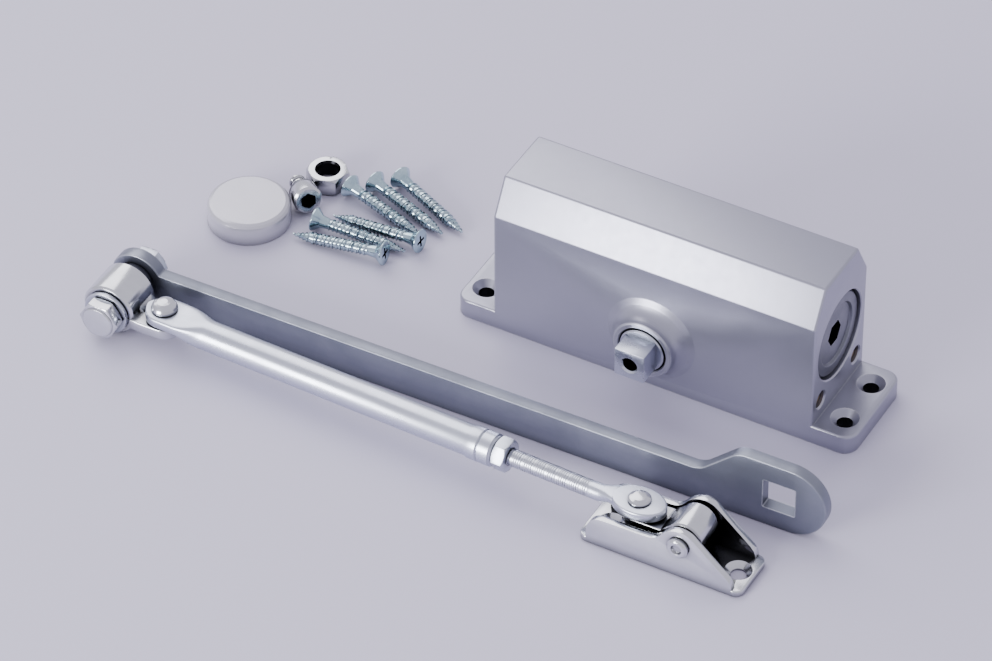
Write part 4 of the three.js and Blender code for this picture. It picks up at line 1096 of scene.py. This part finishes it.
def makeSwivel(s):
    barrel = turned("swivelPiece", [(0, -6), (5.4, -6), (6, -5.4), (6, 5.4), (5.4, 6), (0, 6)], "y",
                    steps=72,
                    soft=0.15)
    block = eased(prism("block",
                        [(-11, -3.5), (0, -6), (0, 6), (-3, 5.2), (-8.5, 0.2), (-8.5, -0.2), (-11, -0.2)],
                        -5.6, 5.6, "xz"), 0.35, 2)
    outline = arcPoints((-s["reach"], 0), 5.6, math.pi / 2, 1.5 * math.pi, 24) + [(-9, -5.6), (-9, 5.6)]
    tongue = eased(prism("tongue", outline, -3.5, -0.2), 0.4, 3)
    body = joined(barrel, block, tongue)
    pin = drill("pinHole", s["pinHole"], -8, 8, "y")
    hole = drill("rivetHole", 2.8, -6, 2, centre=(-s["reach"], 0, 0))
    return carved(body, pin, hole)


def makeFootBracket(s):
    floor, half, t = -armFrame["footPin"][2], s["width"] / 2, s["sheet"]
    inset = half - 0.03    # the plate hides just inside the bent walls, so no two faces coincide
    corners = [(s["left"], -inset), (s["right"], -inset), (s["right"], inset), (s["left"], inset)]
    base = eased(prism("footBracketPiece", filleted(corners, s["corner"], 8), floor + 0.02, floor + t), 0.4,
                 3)
    # a U of bent sheet, cut to the outline of the side walls
    sunk = floor + t - 0.06
    u = [(-half, floor), (half, floor), (half, 10), (half - t, 10), (half - t, sunk), (-half + t, sunk),
         (-half + t, 10), (-half, 10)]
    bent = filleted(u, s["bend"], 6, only=(0, 1))
    wallLeft = s["left"] + s["corner"]
    channel = prism("channel", bent, wallLeft - 2, 20, "yz")
    ear = [(wallLeft, floor - 1)]
    ear += curvePoints((wallLeft, -7.5), (wallLeft + 0.8, -1.5), (wallLeft + 6, -1.2))
    ear += curvePoints((-12, -0.9), (-8.4, -0.7), (-6.6, 1.9))
    ear += curvePoints((-6.6, 1.9), (-3.9, 6), (0.2, 6))[1:]
    ear += curvePoints((0.2, 6), (3, 6), (5, 4.2))[1:]
    ear += curvePoints((17, floor + 6.5), (18.6, floor + 5), (18.8, floor + 2.6)) + [(18.8, floor - 1)]
    ears = eased(shared(channel, prism("earShape", ear, -half - 1, half + 1, "xz")), 0.15, 2)
    body = joined(base, ears)
    cutters = [drill("pinHole", s["pinHole"], -half - 1, half + 1, "y")]
    for x in s["holes"]:
        cutters.append(turned("screwHole", [(0, floor - 1), (2.6, floor - 1), (2.6, floor + 0.7),
                                            (4.5, floor + t + 0.01), (0, floor + t + 0.01)], "z", (x, 0, 0),
                              40, 0))
    return carved(body, *cutters)


footHalf = footSizes["width"] / 2
finishPiece(makeSwivel(footSizes), "chromePlate", "swivel", ["foot_swivel"], footPlace)
footRivetProfile = [(0, -5.1), (3.2, -5.1), (3.7, -4.6), (3.7, -3.8), (2.5, -3.8), (2.5, 3.9), (3.9, 3.9),
                    (3.8, 4.4), (3.2, 4.9), (2.2, 5.3), (1.1, 5.45), (0, 5.5)]
finishPiece(turned("footRivetPiece", footRivetProfile, "z", (-footSizes["reach"], 0, 0), 56, 0.12),
            "chromePlate",
            "swivel", ["foot_rivet"], footPlace)


# painted shade on the floor and inner walls of the foot's channel
def inFootChannel(at):
    between = abs(at.y) < footHalf - footSizes["sheet"] + 0.05
    return 0.8 if between and -9 < at.x < 12 and at.z > -11 else 0


finishPiece(makeFootBracket(footSizes), "chromePlate", "foot", ["foot_bracket"], footPlace,
            shade=inFootChannel)
pinProfile = [(0, -footHalf - 1), (1.5, -footHalf - 1), (1.9, -footHalf - 1.9), (2.9, -footHalf - 1.9),
              (3.7, -footHalf - 1.2), (3.7, -footHalf - 0.3), (2.5, -footHalf - 0.3), (2.5, footHalf + 0.6),
              (1.9, footHalf + 0.6), (1.9, footHalf + 2), (2.5, footHalf + 2), (2.0, footHalf + 2.8),
              (0, footHalf + 2.8)]
finishPiece(turned("footPinPiece", pinProfile, "y", steps=56, soft=0.1), "chromePlate", "foot",
            ["foot_pin"],
            footPlace)
clip = makeRing("pinClipPiece", 2.1, 4.6, footHalf + 0.8, footHalf + 1.8, soft=0.1)
clip = carved(clip, slab("gap", -1.5, 1.5, footHalf, footHalf + 3, -6, 0))
finishPiece(clip, "machinedSteel", "foot", ["pin_clip"], footPlace)
print("foot made")


# loose pieces
capSizes = {"centre": (-156.9, -9.9, 0), "radius": 14.2, "height": 8, "wall": 1.3}


def makeCap(s):
    r, h, w = s["radius"], s["height"], s["wall"]
    profile = [(0, h - w), (r - w - 0.8, h - w), (r - w, h - w - 0.8), (r - w, 0), (r, 0), (r, h - 2)]
    profile += [(r - 0.25, h - 1.1), (r - 0.9, h - 0.4), (r - 1.9, h), (0, h)]
    return turned("spindleCapPiece", profile, "z", steps=128, soft=0.2)


finishPiece(makeCap(capSizes), "capPlastic", "cap", ["spindle_cap"],
            Matrix.Translation(capSizes["centre"]), smooth=50)

screwSizes = {"place": (-140.2, 1.1, 6.36), "tilt": 12.5, "heading": 136, "headRadius": 5, "head": 6,
              "length": 16, "socket": 5, "pitch": 1.0}


def makeSpindleScrew(s):
    head = turned("spindleScrewPiece", [(0, 0), (s["headRadius"] - 0.7, 0), (s["headRadius"], 0.7),
                                          (s["headRadius"], s["head"]), (0, s["head"])], "z", steps=64,
                  soft=0.2)
    head = carved(head, prism("socket", circlePoints(s["socket"] / math.sqrt(3), 6), -1, 3.6))
    shank = thread("shank", s["length"] - s["head"] - 1.0, 2.5, s["pitch"], 0.36, "chromePlate",
                   start=s["head"])
    tip = turned("tip",
                 [(0, s["length"] - 1.2), (2.6, s["length"] - 1.2), (2.0, s["length"]), (0, s["length"])],
                 "z", steps=32, soft=0)
    return merged("spindleScrewPiece", [head, shank, tip])


screwTurn = Euler((0, math.radians(screwSizes["tilt"]), math.radians(screwSizes["heading"])))
screwPlace = Matrix.Translation(screwSizes["place"]) @ screwTurn.to_matrix().to_4x4()
alongX = Matrix.Rotation(math.pi / 2, 4, "Y")
# painted shade in the screw head's hex socket
finishPiece(makeSpindleScrew(screwSizes), "chromePlate", "screw_set", ["spindle_screw"],
            screwPlace @ alongX, shade=lambda at: math.hypot(at.x, at.y) < 2.75 and 0.3 < at.z < 4)
washer = makeRing("springWasherPiece", 3.1, 4.8, 6.3, 7.6, "x", soft=0.12)
washer = carved(washer, slab("split", 5, 9, -0.5, 0.5, 0, 6))
finishPiece(washer, "machinedSteel", "screw_set", ["spring_washer"], screwPlace)

nutSizes = {"place": (-143, 18.7, 0), "turn": 0.35, "height": 6.5, "across": 13, "bore": 3.9}


def makeLooseNut(s):
    nut = hexBlank("looseNutPiece", s["across"] / math.sqrt(3), 0, s["height"], "z", 1.5)
    bore = turned("bore", [(0, -1), (s["bore"] + 1.2, -1), (s["bore"], 0.8), (s["bore"], s["height"] - 0.8),
                           (s["bore"] + 1.2, s["height"] + 1), (0, s["height"] + 1)], "z", steps=48, soft=0)
    return carved(nut, bore)


# painted shade in the nut's bore
finishPiece(makeLooseNut(nutSizes), "chromePlate", "nut", ["loose_nut"],
            Matrix.Translation(nutSizes["place"]) @ Matrix.Rotation(nutSizes["turn"], 4, "Z"),
            shade=lambda at: math.hypot(at.x, at.y) < nutSizes["bore"] + 0.4)

fixingSizes = {"length": 34, "head": 4.2, "shank": 2.2, "core": 1.72, "pitch": 1.45, "ridge": 0.46,
               "taper": 7,
               "lift": 4.4,
               "places": [(-105.5, -8, 186), (-135.2, -4, 5), (-98.2, 3.2, 180), (-133.6, 16.8, -14.7),
                          (-127.3, 22.7, -17.3), (-121, 29, -21.5)]}


def makeFixingScrews(s):
    head = turned("head",
                  [(0, 0), (s["head"] - 0.1, 0), (s["head"], 0.45), (s["shank"], 2.9), (s["core"] + 0.2, 5),
                           (s["core"], 6), (0, 6)], "z", steps=48, soft=0.1)
    arms = [[(-2.2, -0.5), (2.2, -0.5), (2.2, 0.5), (-2.2, 0.5)],
            [(-0.5, -2.2), (0.5, -2.2), (0.5, 2.2), (-0.5, 2.2)]]
    recess = [prism("recess", arm, -1, 1.7) for arm in arms]
    head = carved(head, *recess)
    straight = thread("straight", s["length"] - s["taper"] - 6, s["core"], s["pitch"], s["ridge"],
                      "blueZinc", start=6)
    point = thread("point", s["taper"] - 0.3, s["core"], s["pitch"], s["ridge"] * 0.8, "blueZinc", end=0.15,
                   start=s["length"] - s["taper"])
    screw = merged("fixingScrew", [head, straight, point])
    screw.data.transform(alongX)
    lean = math.asin((s["head"] - s["shank"]) / (s["length"] - 9))
    mesh = bpy.data.meshes.new("fixingScrewsPiece")
    mesh.from_pydata([(x, y, s["lift"]) for x, y, _ in s["places"]], [], [])
    turns = mesh.attributes.new("turn", "FLOAT_VECTOR", "POINT")
    for i, (_, _, heading) in enumerate(s["places"]):
        turns.data[i].vector = (0, lean, math.radians(heading))
    laid = newObject("fixingScrewsPiece", mesh)
    runTree(laid, layoutTree, Piece=screw, Material=materials["blueZinc"])
    bpy.data.objects.remove(screw)
    return laid


finishPiece(makeFixingScrews(fixingSizes), "blueZinc", "fixing_screws",
            ["fixing_screw_%d" % i for i in range(1, 7)])
print("loose pieces made")


# CAD nodes that keep their own shape get a full finish
keptNodes = {
    "plug_seal_right": "blackRubber", "plug_seal_left": "blackRubber", "valve_seal_closing": "blackRubber",
    "valve_seal_latching": "blackRubber", "spindle_seal_front": "blackRubber",
             "spindle_seal_rear": "blackRubber",
    "piston_ring": "blackRubber", "spindle_bush_front": "bronze", "spindle_bush_rear": "bronze",
    "rack_piston": "machinedSteel", "spring_seat": "machinedSteel",
    "check_valve_ball": "brightSteel", "check_valve_retainer": "bronze",
}
for name, finish in keptNodes.items():
    slots = nodes[name].material_slots
    if not slots:
        nodes[name].data.materials.append(materials[finish])
    for one in slots:
        one.material = materials[finish]
print("kept nodes finished:", len(keptNodes))


# floor and light
stageSetup = {"floorSize": 6.0, "floorColour": (0.64, 0.61, 0.76), "world": (0.87, 0.85, 0.97),
              "worldStrength": 1.0}


def makeFloor(s):
    half = s["floorSize"] / 2
    mesh = bpy.data.meshes.new("tableTop")
    mesh.from_pydata([(-half, -half, -0.0001), (half, -half, -0.0001), (half, half, -0.0001),
                      (-half, half, -0.0001)],
                     [], [(0, 1, 2, 3)])
    floor = newObject("tableTop", mesh)
    material = bpy.data.materials.new("tableTop")
    material.use_nodes = True
    shader = material.node_tree.nodes["Principled BSDF"]
    shader.inputs["Base Color"].default_value = (*s["floorColour"], 1)
    shader.inputs["Roughness"].default_value = 0.55
    mesh.materials.append(material)


def makeWorld(s):
    world = bpy.data.worlds.new("studio")
    bpy.context.scene.world = world
    world.use_nodes = True
    background = world.node_tree.nodes["Background"]
    background.inputs["Color"].default_value = (*s["world"], 1)
    background.inputs["Strength"].default_value = s["worldStrength"]


lamps = {
    "windowBack": {"place": (-1.4, 0.9, 1.6), "size": 1.9, "power": 30, "colour": (1.0, 0.99, 1.0)},
    "softFront": {"place": (-0.62, -1.55, 0.42), "size": 0.8, "power": 34, "colour": (0.97, 0.98, 1.0)},
}


def makeLamp(name, s):
    data = bpy.data.lights.new(name, "AREA")
    data.shape = "SQUARE"
    data.size = s["size"]
    data.energy = s["power"]
    data.color = s["colour"]
    lamp = bpy.data.objects.new(name, data)
    bpy.context.scene.collection.objects.link(lamp)
    place = Vector(s["place"])
    aim = Vector((-0.04, -0.03, 0)) - place
    lamp.matrix_world = Matrix.Translation(place) @ aim.to_track_quat("-Z", "Y").to_matrix().to_4x4()


makeFloor(stageSetup)
makeWorld(stageSetup)
for name, setup in lamps.items():
    makeLamp(name, setup)
print("floor and light set")
